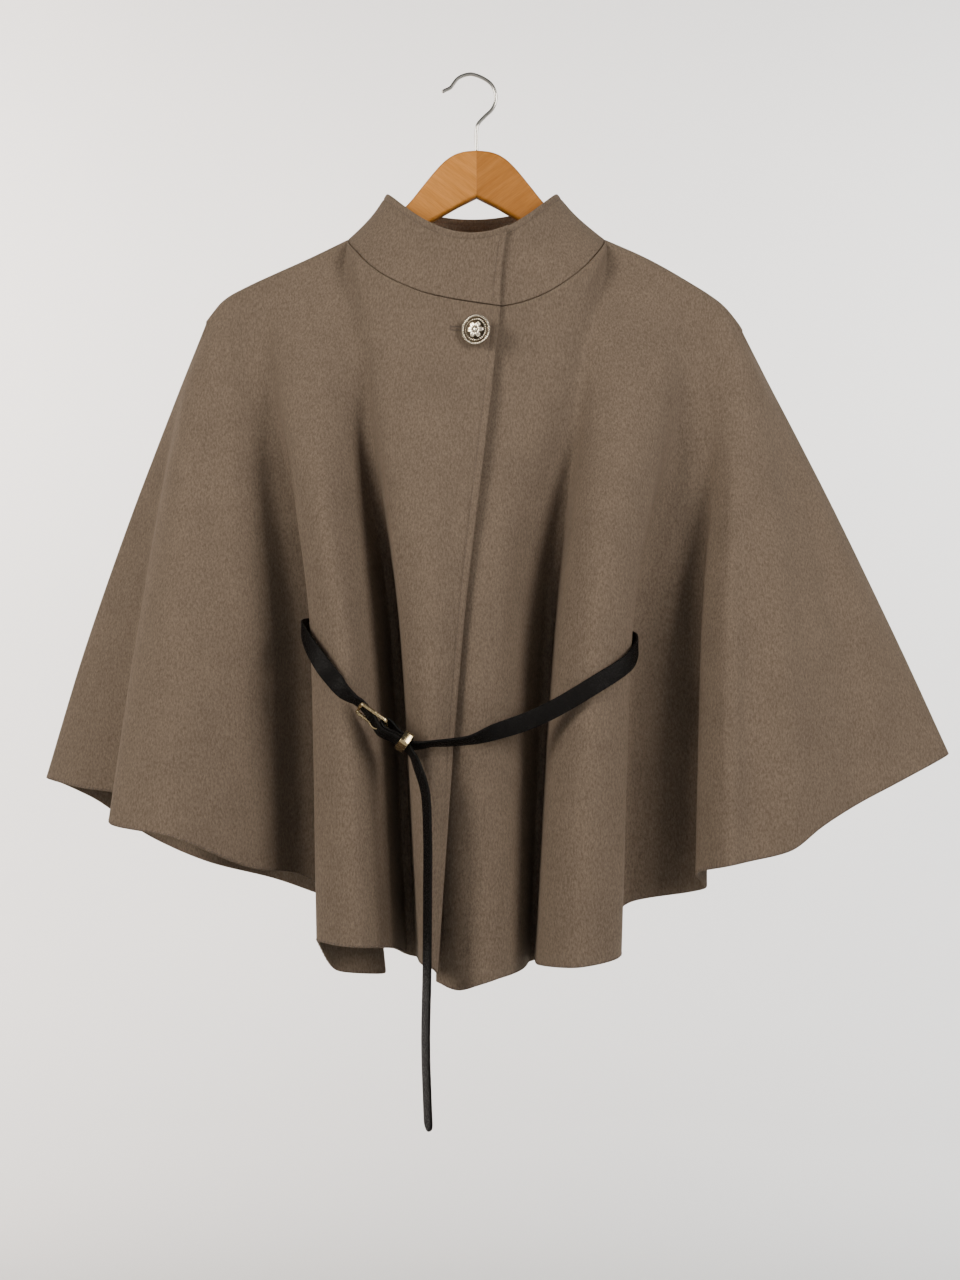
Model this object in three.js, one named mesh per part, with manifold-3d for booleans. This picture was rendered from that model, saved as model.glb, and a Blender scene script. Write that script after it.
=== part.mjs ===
// A hip-length wool cape with a funnel collar, one metal button and a slim leather belt,
// hanging on a two-piece wooden hanger by its wire hook.
// Units are millimetres, +Z is up and the front looks along -Y. Right and left are the wearer's: right is -X.
// The origin is where the top of the hook's bend rests; the hanger's middle is MIDDLE_X beside it.
import * as THREE from "three";
import { mergeVertices } from "three/addons/utils/BufferGeometryUtils.js";
import Module from "manifold-3d";

const wasm = await Module();
wasm.setup();

const { clamp, degToRad, lerp, radToDeg, smoothstep } = THREE.MathUtils;
const vec = (x, y, z) => new THREE.Vector3(x, y, z);

// Driving dimensions
const MIDDLE_X = 5.4;
const WALL = 2.4;
const SEAM_GAP = 0.3;
const CHEST_Z = -290;
const WAIST_Z = -510;
const NECK = { halfWidth: 115, frontY: -65, backY: 44, sideZ: -150, frontDrop: 71, backDrop: 28 };
// How far the neck seam has dropped at each turn round the neck, in degrees from the side
const NECK_FALL = {
  "right front": [
    { turn: 0, part: 0 }, { turn: 22, part: 0.2 }, { turn: 34, part: 0.385 }, { turn: 45, part: 0.553 },
    { turn: 57, part: 0.704 }, { turn: 68, part: 0.82 }, { turn: 81, part: 0.905 }, { turn: 92, part: 0.955 },
    { turn: 101, part: 0.99 },
  ],
  "left front": [
    { turn: 0, part: 0 }, { turn: 16, part: 0.155 }, { turn: 25, part: 0.276 }, { turn: 34, part: 0.42 },
    { turn: 45, part: 0.6 }, { turn: 56, part: 0.766 }, { turn: 65, part: 0.876 }, { turn: 73, part: 0.945 },
    { turn: 82, part: 0.985 }, { turn: 101, part: 1.0 },
  ],
  back: [{ turn: 0, part: 0 }, { turn: 30, part: 0.36 }, { turn: 60, part: 0.77 }, { turn: 90, part: 1 }],
};
const COLLAR = { middleX: -4, halfWidth: 76, frontY: -60, backY: 45, sideZ: -108, frontDrop: 47.5, backDrop: 10 };
const COLLAR_HOLLOW = 3;
const COLLAR_END_LEAN = 1.14;
const UNDERLAP = { depth: 4, fullX: 40, noneX: 90 };
const SEAM_TILT = 58;
const ROLL = { radius: 10, tipX: 214, endX: 236, tipRadius: 3 };
const STRAIGHT_START = 5;
const HANGER = { sweep: 18, reach: 215, thickness: 13, clearance: 1, mitreGap: 0.3, grooveDepth: 28 };
const ARM = { tipRadius: 9, crown: 4, stations: [132, 150, 168, 186], tipTurns: [30, 55, 75], tipThickness: 0.6 };
const HOOK_WIRE = 3.3;
const BELT = { width: 15, thickness: 2.2, clearance: 0.3 };
const BUTTON = { radius: 13, rim: 1.6, dome: 3.2, edge: 2, shankRadius: 2.6, shankLength: 5.6, turn: 20 };
// The button's seat: its part of the way from the front edge to the centre crest, and of the cloth's fall
const BUTTON_SEAT = { across: 0.42, fall: 0.036 };
const BUCKLE = { length: 28, width: 22, wire: 3, turn: 60, prongRadius: 0.9 };
const KEEPER = { at: 34, length: 8, plate: 1.4, room: 0.6 };

const COLOURS = { wool: 0x86735f, leather: 0x1c1a19, gold: 0xc9a55a, pewter: 0xb9a67c };
const WOODS = { right: 0xc98b4b, left: 0xb07a3c };
const WOOL = { color: COLOURS.wool, roughness: 0.95, metalness: 0, side: THREE.DoubleSide };

// The folds of the cloth, one row for each crest, valley or edge, from the right front's edge all round
// to the left front's under edge. top is the x where the row starts on the neck seam or the shoulder line.
// chest and waist are its x and y at those two heights, and hem is its x, y and z at the hem.
const RIGHT_FRONT = [
  { fold: "front edge", top: 20.4, chest: [13.4, -73], waist: [-12, -101], hem: [-33, -104, -786.5] },
  { fold: "centre crest", top: -20, chest: [-31, -79], waist: [-36.8, -114], hem: [-38.5, -115, -780] },
  { fold: "centre fold's side", top: -93, chest: [-86, -66], waist: [-61.4, -95], hem: [-46, -94, -781] },
  { fold: "first valley, inner", top: -106, chest: [-95, -52], waist: [-66, -35], hem: [-53, -33, -786] },
  { fold: "first valley, outer", top: -115, chest: [-103, -50], waist: [-75, -35], hem: [-62, -33, -784] },
  {
    fold: "second fold's inner side", top: -124, chest: [-118.5, -57], waist: [-88.9, -80],
    hem: [-72.2, -88, -768.5],
  },
  { fold: "second crest", top: -140, chest: [-141.8, -62], waist: [-112.1, -108], hem: [-100.5, -118, -763] },
  {
    fold: "second fold's outer side", top: -176, chest: [-169.7, -50], waist: [-140.6, -82],
    hem: [-134.9, -88, -762],
  },
  { fold: "layer folded under it", top: -183, chest: [-173, -41], waist: [-122.1, -60], hem: [-120, -71, -791.5] },
  { fold: "the under layer's turn", top: -189, chest: [-176.5, -35], waist: [-110, -43], hem: [-79, -50, -797.5] },
  { fold: "second valley", top: -195, chest: [-182, -31], waist: [-129.5, -27], hem: [-105, -28, -765] },
  { fold: "side fold's slope", top: -203, chest: [-194, -30], waist: [-157.2, -32], hem: [-151, -32, -716] },
  { fold: "side fold's middle", top: -210, chest: [-214.1, -36], waist: [-202.5, -72], hem: [-193.1, -78, -702] },
  { fold: "side crest", top: -217, chest: [-240, -38], waist: [-256, -84], hem: [-259.9, -108, -671] },
  { fold: "side fold's outer side", top: -224, chest: [-256, -28], waist: [-294, -56], hem: [-312.9, -80, -662.7] },
  { fold: "side valley", top: -229, chest: [-261, -19], waist: [-297, -36], hem: [-311, -46, -643] },
  { fold: "wing", top: -234, chest: [-265, -12], waist: [-317, -26], hem: [-346.9, -34, -638] },
];
const RIGHT_SIDE_SEAM = {
  fold: "right side seam", top: -240, chest: [-267.9, -4], waist: [-348.7, -4], hem: [-385.5, -4, -631.5],
};
const BACK = [
  { fold: "right wing", top: -230, chest: [-262, 3], waist: [-325, 10], hem: [-350, 14, -650] },
  { fold: "right wing's crest", top: -216, chest: [-246, 11], waist: [-285, 25], hem: [-300, 36, -689] },
  { fold: "right outer valley", top: -196, chest: [-215, 12], waist: [-235, 16], hem: [-245, 16, -709] },
  { fold: "right outer crest", top: -160, chest: [-168, 22], waist: [-180, 34], hem: [-185, 44, -729] },
  { fold: "right inner valley", top: -108, chest: [-112, 20], waist: [-121, 19], hem: [-125, 20, -745] },
  { fold: "right inner crest", top: -55, chest: [-55, 32], waist: [-58, 40], hem: [-60, 46, -764] },
  { fold: "middle valley", top: 8, chest: [8, 28], waist: [9, 26], hem: [10, 22, -770] },
  { fold: "left inner crest", top: 70, chest: [68, 32], waist: [75, 40], hem: [80, 46, -758] },
  { fold: "left inner valley", top: 115, chest: [125, 20], waist: [140, 18], hem: [150, 18, -735] },
  { fold: "left outer crest", top: 165, chest: [175, 22], waist: [198, 34], hem: [215, 44, -710] },
  { fold: "left outer valley", top: 200, chest: [222, 13], waist: [255, 16], hem: [275, 16, -690] },
  { fold: "left wing's crest", top: 218, chest: [250, 12], waist: [305, 24], hem: [330, 34, -656] },
  { fold: "left wing", top: 228, chest: [262, 3], waist: [350, 10], hem: [385, 14, -631] },
];
const LEFT_SIDE_SEAM = {
  fold: "left side seam", top: 236, chest: [268, -3], waist: [377.4, -3], hem: [423.2, -5, -610],
};
const LEFT_FRONT = [
  { fold: "outer edge of the wing", top: 229, chest: [263, -12], waist: [348.9, -30], hem: [372.1, -36, -632] },
  { fold: "wing's dip", top: 226, chest: [258, -20], waist: [316.3, -42], hem: [331, -54, -650] },
  { fold: "side fold's outer side", top: 224, chest: [252.6, -26], waist: [286.9, -60], hem: [296, -76, -667] },
  { fold: "second side crest", top: 221, chest: [244.2, -33], waist: [259.5, -76], hem: [265, -90, -687] },
  { fold: "side fold's dip", top: 218, chest: [235.3, -37], waist: [231.8, -78], hem: [237.8, -88, -694] },
  { fold: "first side crest", top: 214, chest: [226.2, -38], waist: [215.5, -84], hem: [213.5, -98, -698] },
  { fold: "side fold's inner side", top: 209, chest: [213.5, -35], waist: [195.5, -56], hem: [189.2, -64, -709] },
  { fold: "its turn", top: 204, chest: [207, -33], waist: [201.4, -38], hem: [201.7, -42, -724.5] },
  { fold: "second valley, outer", top: 199, chest: [200, -32], waist: [188.4, -30], hem: [187.6, -36, -729] },
  { fold: "second valley, inner", top: 191, chest: [186, -34], waist: [142, -32], hem: [133.7, -32, -739] },
  { fold: "return under the fold", top: 184, chest: [175, -41], waist: [126.5, -52], hem: [112.6, -52, -762] },
  { fold: "second fold's outer side", top: 175, chest: [166.7, -50], waist: [131.4, -84], hem: [122.4, -90, -774] },
  { fold: "second crest", top: 150, chest: [134.3, -62], waist: [99.1, -110], hem: [86, -120, -779] },
  { fold: "second fold's inner side", top: 122, chest: [104, -57], waist: [69.6, -80], hem: [51.5, -85, -783] },
  { fold: "first valley, outer", top: 115, chest: [92, -48], waist: [68.5, -34], hem: [52, -35, -788] },
  { fold: "first valley, inner", top: 106, chest: [84, -48], waist: [60, -34], hem: [46, -36, -790] },
  { fold: "slope into the valley", top: 88, chest: [70, -58], waist: [45, -55], hem: [41, -60, -791] },
  { fold: "centre fold's side", top: 45, chest: [37.6, -64], waist: [20, -90], hem: [24.3, -92, -792] },
  { fold: "centre crest", top: 0, chest: [1.4, -67], waist: [-1.1, -97], hem: [3.2, -104, -796.6] },
  { fold: "turn of the under edge", top: -16, chest: [-16, -65], waist: [-20, -92], hem: [-16, -97, -803] },
  { fold: "under edge", top: -22, chest: [-24, -64], waist: [-30, -90], hem: [-34, -82, -798] },
];
const ROWS = [...RIGHT_FRONT, RIGHT_SIDE_SEAM, ...BACK, LEFT_SIDE_SEAM, ...LEFT_FRONT];
const RIGHT_SEAM_AT = RIGHT_FRONT.length;
const LEFT_SEAM_AT = RIGHT_SEAM_AT + BACK.length + 1;

// The shoulder lines, as the distance from the hanger's middle and the height there
const RIGHT_SHOULDER = [
  { out: 115, z: -150 }, { out: 150, z: -168 }, { out: 177, z: -181 }, { out: 205, z: -195.2 },
  { out: 224.6, z: -207.3 }, { out: 240, z: -225 },
];
const LEFT_SHOULDER = [
  { out: 115, z: -150 }, { out: 150, z: -166.5 }, { out: 185.4, z: -187.5 }, { out: 216.6, z: -209.5 },
  { out: 231, z: -225.3 }, { out: 240, z: -238 },
];
// The hanger's middle, as the distance from its mitre, its top and its underside
const HANGER_OUTLINE = [
  { out: 0, top: -68, under: -110 }, { out: 9, top: -68.7, under: -114.5 }, { out: 18, top: -71, under: -119 },
  { out: 26, top: -75.6, under: -123.6 }, { out: 33, top: -82, under: -127.6 },
  { out: 40, top: -90, under: -131.6 }, { out: 47, top: -98.7, under: -135.6 },
  { out: 61, top: -116, under: -143 }, { out: 80, top: -134.5, under: -155 },
  { out: 100, top: -147.5, under: -167 }, { out: 115, top: -155, under: -174.5 },
];
// The hook's centre line from the bottom of its stem to its open end, as x and z from the hanger's middle
const HOOK_LINE = [
  [0, -94], [0, -67], [-0.1, -50], [1.2, -43.8], [7.6, -36.4], [13.5, -30.8], [16.7, -24.6], [17.3, -18],
  [15.6, -11.4], [12.5, -6.8], [7, -2.7], [0.1, 0.4], [-5.4, 1.6], [-12.3, 0.1], [-17.1, -2.6], [-20.5, -6.7],
  [-23.3, -10.5], [-27.4, -12.6], [-30, -14],
];

// Heights along each fold line: turns over the shoulder first, as parts of a quarter turn, then the fall
const TURN_STEPS = [0, 0.5, 1];
const FALL_STEPS = [0.04, 0.1, 0.17, 0.25, 0.33, 0.4, 0.47, 0.54, 0.61, 0.7, 0.8, 0.9, 1];
const COLUMN_PITCH = 11;
// Slits for the belt, each hidden in a valley: the fold row it follows, its parts of the way to the next
// row, and its part of the fall
const SLITS = {
  right: { after: "second valley", sides: [0.15, 0.5], from: 0.47, to: 0.61 },
  left: { after: "second valley, inner", sides: [0.5, 0.85], from: 0.47, to: 0.61 },
};

// A smooth curve through a table of values, without overshoot between them
function through(knots, values, at) {
  const last = knots.length - 1;
  const rising = knots[last] > knots[0] ? 1 : -1;
  let i = 0;
  while (i < last - 1 && (at - knots[i + 1]) * rising > 0) i += 1;
  const slope = (k) => (values[k + 1] - values[k]) / (knots[k + 1] - knots[k]);
  const tangent = (k) => {
    if (k === 0) return slope(0);
    if (k === last) return slope(last - 1);
    const before = slope(k - 1);
    const after = slope(k);
    return before * after <= 0 ? 0 : (2 * before * after) / (before + after);
  };
  const span = knots[i + 1] - knots[i];
  const t = clamp((at - knots[i]) / span, 0, 1);
  const bend = t * t * (3 - 2 * t);
  const start = t * (1 - t) * (1 - t) * span * tangent(i);
  const end = t * t * (t - 1) * span * tangent(i + 1);
  return lerp(values[i], values[i + 1], bend) + start + end;
}

const column = (table, name) => table.map((row) => row[name]);

function shoulderZ(x) {
  const table = x < 0 ? RIGHT_SHOULDER : LEFT_SHOULDER;
  return through(column(table, "out"), column(table, "z"), Math.abs(x));
}

const hangerY = (x) => -HANGER.sweep * Math.min(Math.abs(x) / HANGER.reach, 1) ** 2;

// The neck seam at x on one panel; the left front's part lies under the right one's
function neckSeam(x, half) {
  const towards = { "right front": -x, "left front": x, back: Math.abs(x) }[half];
  const turn = Math.acos(clamp(towards / NECK.halfWidth, -1, 1));
  const middleY = half === "back" ? NECK.backY : NECK.frontY;
  const drop = half === "back" ? NECK.backDrop : NECK.frontDrop;
  const sideY = hangerY(NECK.halfWidth);
  const under = half === "left front" ? UNDERLAP.depth * (1 - smoothstep(x, UNDERLAP.fullX, UNDERLAP.noneX)) : 0;
  const y = sideY + (middleY - sideY) * Math.sin(turn) + under;
  const fallen = through(column(NECK_FALL[half], "turn"), column(NECK_FALL[half], "part"), radToDeg(turn));
  return vec(x, y, NECK.sideZ - drop * fallen);
}

const halfAt = (u) => (u < RIGHT_SEAM_AT ? "right front" : u > LEFT_SEAM_AT ? "left front" : "back");

function rollAt(row, u) {
  if (row === RIGHT_SIDE_SEAM || row === LEFT_SIDE_SEAM) return 0;
  const out = Math.abs(row.top);
  const shrink = smoothstep(out, ROLL.tipX, ROLL.endX);
  const grow = smoothstep(out, NECK.halfWidth - 35, NECK.halfWidth + 3);
  const radius = lerp(ROLL.radius, ROLL.tipRadius, shrink) * grow;
  return halfAt(u) === "back" ? radius : -radius;
}

// Each row as plain numbers, and the numbers at any place u between two rows
const NUMBERS = ROWS.map((row, u) => [row.top, rollAt(row, u), ...row.chest, ...row.waist, ...row.hem]);

function numbersAt(u) {
  const i = clamp(Math.floor(u), 0, NUMBERS.length - 2);
  const t = u - i;
  const before = NUMBERS[Math.max(i - 1, 0)];
  const after = NUMBERS[Math.min(i + 2, NUMBERS.length - 1)];
  const steady = (a, b) => (a * b <= 0 ? 0 : (2 * a * b) / (a + b));
  return NUMBERS[i].map((start, k) => {
    const end = NUMBERS[i + 1][k];
    const leave = i > 0 ? steady(start - before[k], end - start) : end - start;
    const arrive = i < NUMBERS.length - 2 ? steady(end - start, after[k] - end) : end - start;
    const bend = t * t * (3 - 2 * t);
    return lerp(start, end, bend) + t * (1 - t) * (1 - t) * leave + t * t * (t - 1) * arrive;
  });
}

// The cloth's middle surface. turn runs from 0 to 1 over the shoulder, and fall from 0 to 1 down to the hem.
function clothPoint(u, turn, fall) {
  const [top, roll, chestX, chestY, waistX, waistY, hemX, hemY, hemZ] = numbersAt(u);
  const onNeck = Math.abs(top) < NECK.halfWidth;
  const start = onNeck ? neckSeam(top, halfAt(u)) : vec(top, hangerY(top), shoulderZ(top));
  const angle = (turn * Math.PI) / 2;
  const y = start.y + roll * Math.sin(angle);
  const nearNeck = 1 - smoothstep(Math.abs(top), NECK.halfWidth - 15, NECK.halfWidth - 1);
  const straight = turn * Math.max(STRAIGHT_START * nearNeck, 2 * smoothstep(Math.abs(top), 222, 234));
  const z = start.z - Math.abs(roll) * (1 - Math.cos(angle)) - straight;
  if (fall <= 0) return vec(start.x, y, z);
  const heights = [z, CHEST_Z, WAIST_Z, hemZ];
  const at = lerp(z, hemZ, fall);
  const x = through(heights, [start.x, chestX, waistX, hemX], at);
  return vec(x, through(heights, [y, chestY, waistY, hemY], at), at);
}

// The place u of the fold row with this name, counted within one panel
function rowNamed(fold, panelRows, panelStart) {
  return panelStart + panelRows.findIndex((row) => row.fold === fold);
}

function levels() {
  const turns = TURN_STEPS.map((turn) => ({ turn, fall: 0 }));
  return [...turns, ...FALL_STEPS.map((fall) => ({ turn: 1, fall }))];
}

// Each slit's two sides as places u
function slitSides() {
  const right = rowNamed(SLITS.right.after, RIGHT_FRONT, 0);
  const left = rowNamed(SLITS.left.after, LEFT_FRONT, LEFT_SEAM_AT + 1);
  return { right: SLITS.right.sides.map((side) => right + side), left: SLITS.left.sides.map((side) => left + side) };
}

// Where the columns of the grid stand between two rows: closer where the cloth is wider
function columnsBetween(first, last) {
  const columns = [];
  for (let u = first; u < last; u += 1) {
    const waistStep = clothPoint(u, 1, 0.6).distanceTo(clothPoint(u + 1, 1, 0.6));
    const topStep = Math.abs(NUMBERS[u + 1][0] - NUMBERS[u][0]);
    const parts = Math.max(2, Math.round(Math.max(waistStep / 1.5, topStep) / COLUMN_PITCH));
    for (let k = 0; k < parts; k += 1) columns.push(u + k / parts);
  }
  columns.push(last);
  for (const sides of Object.values(slitSides())) {
    if (sides[0] < first || sides[1] > last) continue;
    for (const side of sides) if (!columns.some((u) => Math.abs(u - side) < 1e-6)) columns.push(side);
  }
  return columns.sort((a, b) => a - b);
}

function clothNormal(u, turn, fall) {
  const step = 0.02;
  const low = Math.max(u - step, 0);
  const high = Math.min(u + step, ROWS.length - 1);
  const across = clothPoint(high, turn, fall).sub(clothPoint(low, turn, fall));
  const down = fall > 0 || turn >= 1
    ? clothPoint(u, turn, Math.min(fall + step, 1)).sub(clothPoint(u, turn, Math.max(fall - step, 0)))
    : clothPoint(u, turn + step, 0).sub(clothPoint(u, turn, 0));
  if (down.lengthSq() < 1e-6) down.set(0, 0, -1);
  return across.cross(down).normalize();
}

// The direction in which both walls end at the neck or shoulder seam, so that their edges face each other
function seamDirection(x, half) {
  if (Math.abs(x) > NECK.halfWidth) {
    const slope = shoulderZ(x + 0.5) - shoulderZ(x - 0.5);
    return vec(-slope, 0, 1).normalize();
  }
  const turn = Math.acos(Math.min(Math.abs(x) / NECK.halfWidth, 1));
  const outward = vec(Math.sign(x) * Math.cos(turn), (half === "back" ? 1 : -1) * Math.sin(turn), 0);
  const tilt = degToRad(SEAM_TILT * Math.cos(turn));
  return outward.multiplyScalar(Math.cos(tilt)).setZ(Math.sin(tilt));
}

// A closed wall on both sides of a grid of middle points, with an edge all round it and round each hole
function wallGeometry(grid, isOpen) {
  const columns = grid.length;
  const rows = grid[0].length;
  const positions = [];
  for (const side of [0.5, -0.5])
    for (const line of grid)
      for (const { point, normal } of line)
        positions.push(...point.clone().addScaledVector(normal, side * WALL).toArray());
  const corner = (i, j, layer) => layer * columns * rows + i * rows + j;
  const filled = (i, j) => i >= 0 && j >= 0 && i < columns - 1 && j < rows - 1 && !isOpen(i, j);
  const faces = [];
  const quad = (a, b, c, d) => faces.push(a, b, c, a, c, d);
  for (let i = 0; i < columns - 1; i += 1)
    for (let j = 0; j < rows - 1; j += 1) {
      if (!filled(i, j)) continue;
      const corners = [[i, j], [i + 1, j], [i + 1, j + 1], [i, j + 1]];
      const [a, b, c, d] = corners.map(([p, q]) => corner(p, q, 0));
      const [e, f, g, h] = corners.map(([p, q]) => corner(p, q, 1));
      quad(a, b, c, d);
      quad(e, h, g, f);
      if (!filled(i, j - 1)) quad(a, e, f, b);
      if (!filled(i + 1, j)) quad(b, f, g, c);
      if (!filled(i, j + 1)) quad(c, g, h, d);
      if (!filled(i - 1, j)) quad(d, h, e, a);
    }
  return geometryOf(positions, faces);
}

function geometryOf(positions, faces) {
  const geometry = new THREE.BufferGeometry();
  geometry.setAttribute("position", new THREE.Float32BufferAttribute(positions, 3));
  geometry.setIndex(faces);
  return geometry;
}

// A closed solid through sections that all have the same number of corners
function loft(sections) {
  const count = sections[0].length;
  const positions = sections.flat().flatMap((corner) => corner.toArray());
  const faces = [];
  for (let s = 0; s < sections.length - 1; s += 1)
    for (let k = 0; k < count; k += 1) {
      const next = (k + 1) % count;
      const a = s * count + k;
      const b = s * count + next;
      if (k < count / 2) faces.push(a, b, b + count, a, b + count, a + count);
      else faces.push(a, b, a + count, b, b + count, a + count);
    }
  const end = (sections.length - 1) * count;
  for (let k = 1; k < count - 1; k += 1) {
    faces.push(0, k + 1, k);
    faces.push(end, end + k, end + k + 1);
  }
  return geometryOf(positions, faces);
}

function solid(geometry) {
  const plain = geometry.clone();
  plain.deleteAttribute("normal");
  plain.deleteAttribute("uv");
  const merged = mergeVertices(plain, 1e-4);
  const vertProperties = new Float32Array(merged.attributes.position.array);
  const triVerts = new Uint32Array(merged.index.array);
  return new wasm.Manifold(new wasm.Mesh({ numProp: 3, vertProperties, triVerts }));
}

function geometryOfSolid(body) {
  const mesh = body.getMesh();
  return geometryOf(Array.from(mesh.vertProperties), Array.from(mesh.triVerts));
}

function addMesh(parent, name, geometry, look) {
  geometry.computeVertexNormals();
  const mesh = new THREE.Mesh(geometry, new THREE.MeshStandardMaterial(look));
  mesh.name = name;
  parent.add(mesh);
  return mesh;
}

// One panel of cloth between two rows, a seam's gap inside its own edges
function panelGrid(first, last) {
  const columns = columnsBetween(first, last);
  const sideTrim = 0.8 * SEAM_GAP;
  return columns.map((u, index) => {
    const isSeam = u === RIGHT_SEAM_AT || u === LEFT_SEAM_AT;
    return levels().map(({ turn, fall }, level) => {
      const point = clothPoint(u, turn, fall);
      const normal = clothNormal(u, turn, fall);
      if (level === 0) {
        const down = clothPoint(u, TURN_STEPS[1], 0.02).sub(point).normalize();
        const [top] = numbersAt(u);
        normal.copy(seamDirection(top, halfAt(u)));
        point.addScaledVector(down, SEAM_GAP);
      }
      if (isSeam) {
        const inward = index === 0 ? columns[1] : columns[columns.length - 2];
        point.addScaledVector(clothPoint(inward, turn, fall).sub(point).normalize(), sideTrim);
      }
      return { point, normal };
    });
  });
}

// Which cells of a panel's grid its belt slit leaves open
function slitCells(first, last, slit, sides) {
  const columns = columnsBetween(first, last);
  const fallOf = (level) => levels()[level].fall;
  return (i, j) => {
    const across = columns[i] >= sides[0] - 1e-6 && columns[i + 1] <= sides[1] + 1e-6;
    return across && fallOf(j) >= slit.from - 1e-6 && fallOf(j + 1) <= slit.to + 1e-6;
  };
}

function addPanels(cloak) {
  const end = ROWS.length - 1;
  const sides = slitSides();
  const rightSlit = slitCells(0, RIGHT_SEAM_AT, SLITS.right, sides.right);
  const leftSlit = slitCells(LEFT_SEAM_AT, end, SLITS.left, sides.left);
  addMesh(cloak, "front_right", wallGeometry(panelGrid(0, RIGHT_SEAM_AT), rightSlit), WOOL);
  addMesh(cloak, "back", wallGeometry(panelGrid(RIGHT_SEAM_AT, LEFT_SEAM_AT), () => false), WOOL);
  addMesh(cloak, "front_left", wallGeometry(panelGrid(LEFT_SEAM_AT, end), leftSlit), WOOL);
}

// The collar stands on the panels' own neck points, from the right front's end round to the under end
function collarColumns() {
  const seamPoints = (first, last) =>
    columnsBetween(first, last)
      .map((u) => ({ x: numbersAt(u)[0], half: halfAt(u) }))
      .filter(({ x }) => Math.abs(x) <= NECK.halfWidth + 1e-6);
  const right = seamPoints(0, RIGHT_SEAM_AT);
  const back = seamPoints(RIGHT_SEAM_AT, LEFT_SEAM_AT).slice(1, -1);
  const left = seamPoints(LEFT_SEAM_AT, ROWS.length - 1);
  return [...right, ...back, ...left];
}

function collarPoint(x, half, rise) {
  const foot = neckSeam(x, half);
  const round = Math.acos(clamp(-x / NECK.halfWidth, -1, 1));
  const turn = half === "right front" ? round * COLLAR_END_LEAN : round;
  const middleY = half === "back" ? COLLAR.backY : COLLAR.frontY;
  const drop = half === "back" ? COLLAR.backDrop : COLLAR.frontDrop;
  const fade = smoothstep(x, UNDERLAP.fullX, UNDERLAP.noneX);
  const under = half === "left front" ? UNDERLAP.depth * (1 - fade) : 0;
  const rim = vec(
    COLLAR.middleX - COLLAR.halfWidth * Math.cos(turn),
    middleY * Math.sin(turn) + under,
    COLLAR.sideZ - drop * Math.sin(turn) ** 2,
  );
  const hollow = COLLAR_HOLLOW * Math.sin(rise * Math.PI);
  const inward = vec(Math.cos(turn), half === "back" ? -Math.sin(turn) : Math.sin(turn), 0);
  return foot.lerp(rim, rise).addScaledVector(inward, hollow);
}

function addCollar(cloak) {
  const rises = [0, 0.17, 0.34, 0.5, 0.67, 0.84, 1];
  const columns = collarColumns();
  const points = columns.map(({ x, half }) => rises.map((rise) => collarPoint(x, half, rise)));
  const grid = points.map((line, i) =>
    line.map((point, j) => {
      const next = points[Math.min(i + 1, points.length - 1)][j];
      const before = points[Math.max(i - 1, 0)][j];
      const above = line[Math.min(j + 1, line.length - 1)];
      const below = line[Math.max(j - 1, 0)];
      const normal = next.clone().sub(before).cross(below.clone().sub(above)).normalize();
      if (j > 0) return { point, normal };
      const raised = point.clone().addScaledVector(above.clone().sub(point).normalize(), 1.5 * SEAM_GAP);
      return { point: raised, normal: seamDirection(columns[i].x, columns[i].half) };
    }),
  );
  const fromTop = grid.map((line) => [...line].reverse());
  addMesh(cloak, "collar", wallGeometry(fromTop, () => false), WOOL);
}

// One arm of the hanger from its mitre to its rounded tip, on one side (-1 is the right arm)
function hangerArm(side) {
  const outs = column(HANGER_OUTLINE, "out");
  const waist = HANGER_OUTLINE[HANGER_OUTLINE.length - 1];
  const tipStart = HANGER.reach - ARM.tipRadius;
  const stations = [...outs.slice(1), ...ARM.stations, tipStart];
  const heights = (out) => {
    if (out <= waist.out)
      return [
        through(outs, column(HANGER_OUTLINE, "top"), out),
        through(outs, column(HANGER_OUTLINE, "under"), out),
      ];
    const top = shoulderZ(side * out) - WALL / 2 - HANGER.clearance;
    return [top, top - (waist.top - waist.under)];
  };
  const section = (out, scale) => {
    const [top, under] = heights(out);
    const middle = (top + under) / 2;
    const half = (HANGER.thickness / 2) * lerp(ARM.tipThickness, 1, scale);
    const { crown } = ARM;
    const outline = [
      [-half, top - crown], [-half / 2, top - crown / 4], [0, top], [half / 2, top - crown / 4], [half, top - crown],
      [half, under + crown], [half / 2, under + crown / 4], [-half / 2, under + crown / 4], [-half, under + crown],
    ];
    return outline.map(([y, z]) => vec(side * out, hangerY(out) + y, lerp(middle, z, scale)));
  };
  const sections = [section(HANGER.mitreGap / 2, 1), ...stations.map((out) => section(out, 1))];
  for (const angle of ARM.tipTurns.map(degToRad))
    sections.push(section(tipStart + ARM.tipRadius * Math.sin(angle), Math.cos(angle)));
  return loft(side > 0 ? sections.map((ring) => [...ring].reverse()) : sections);
}

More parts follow.
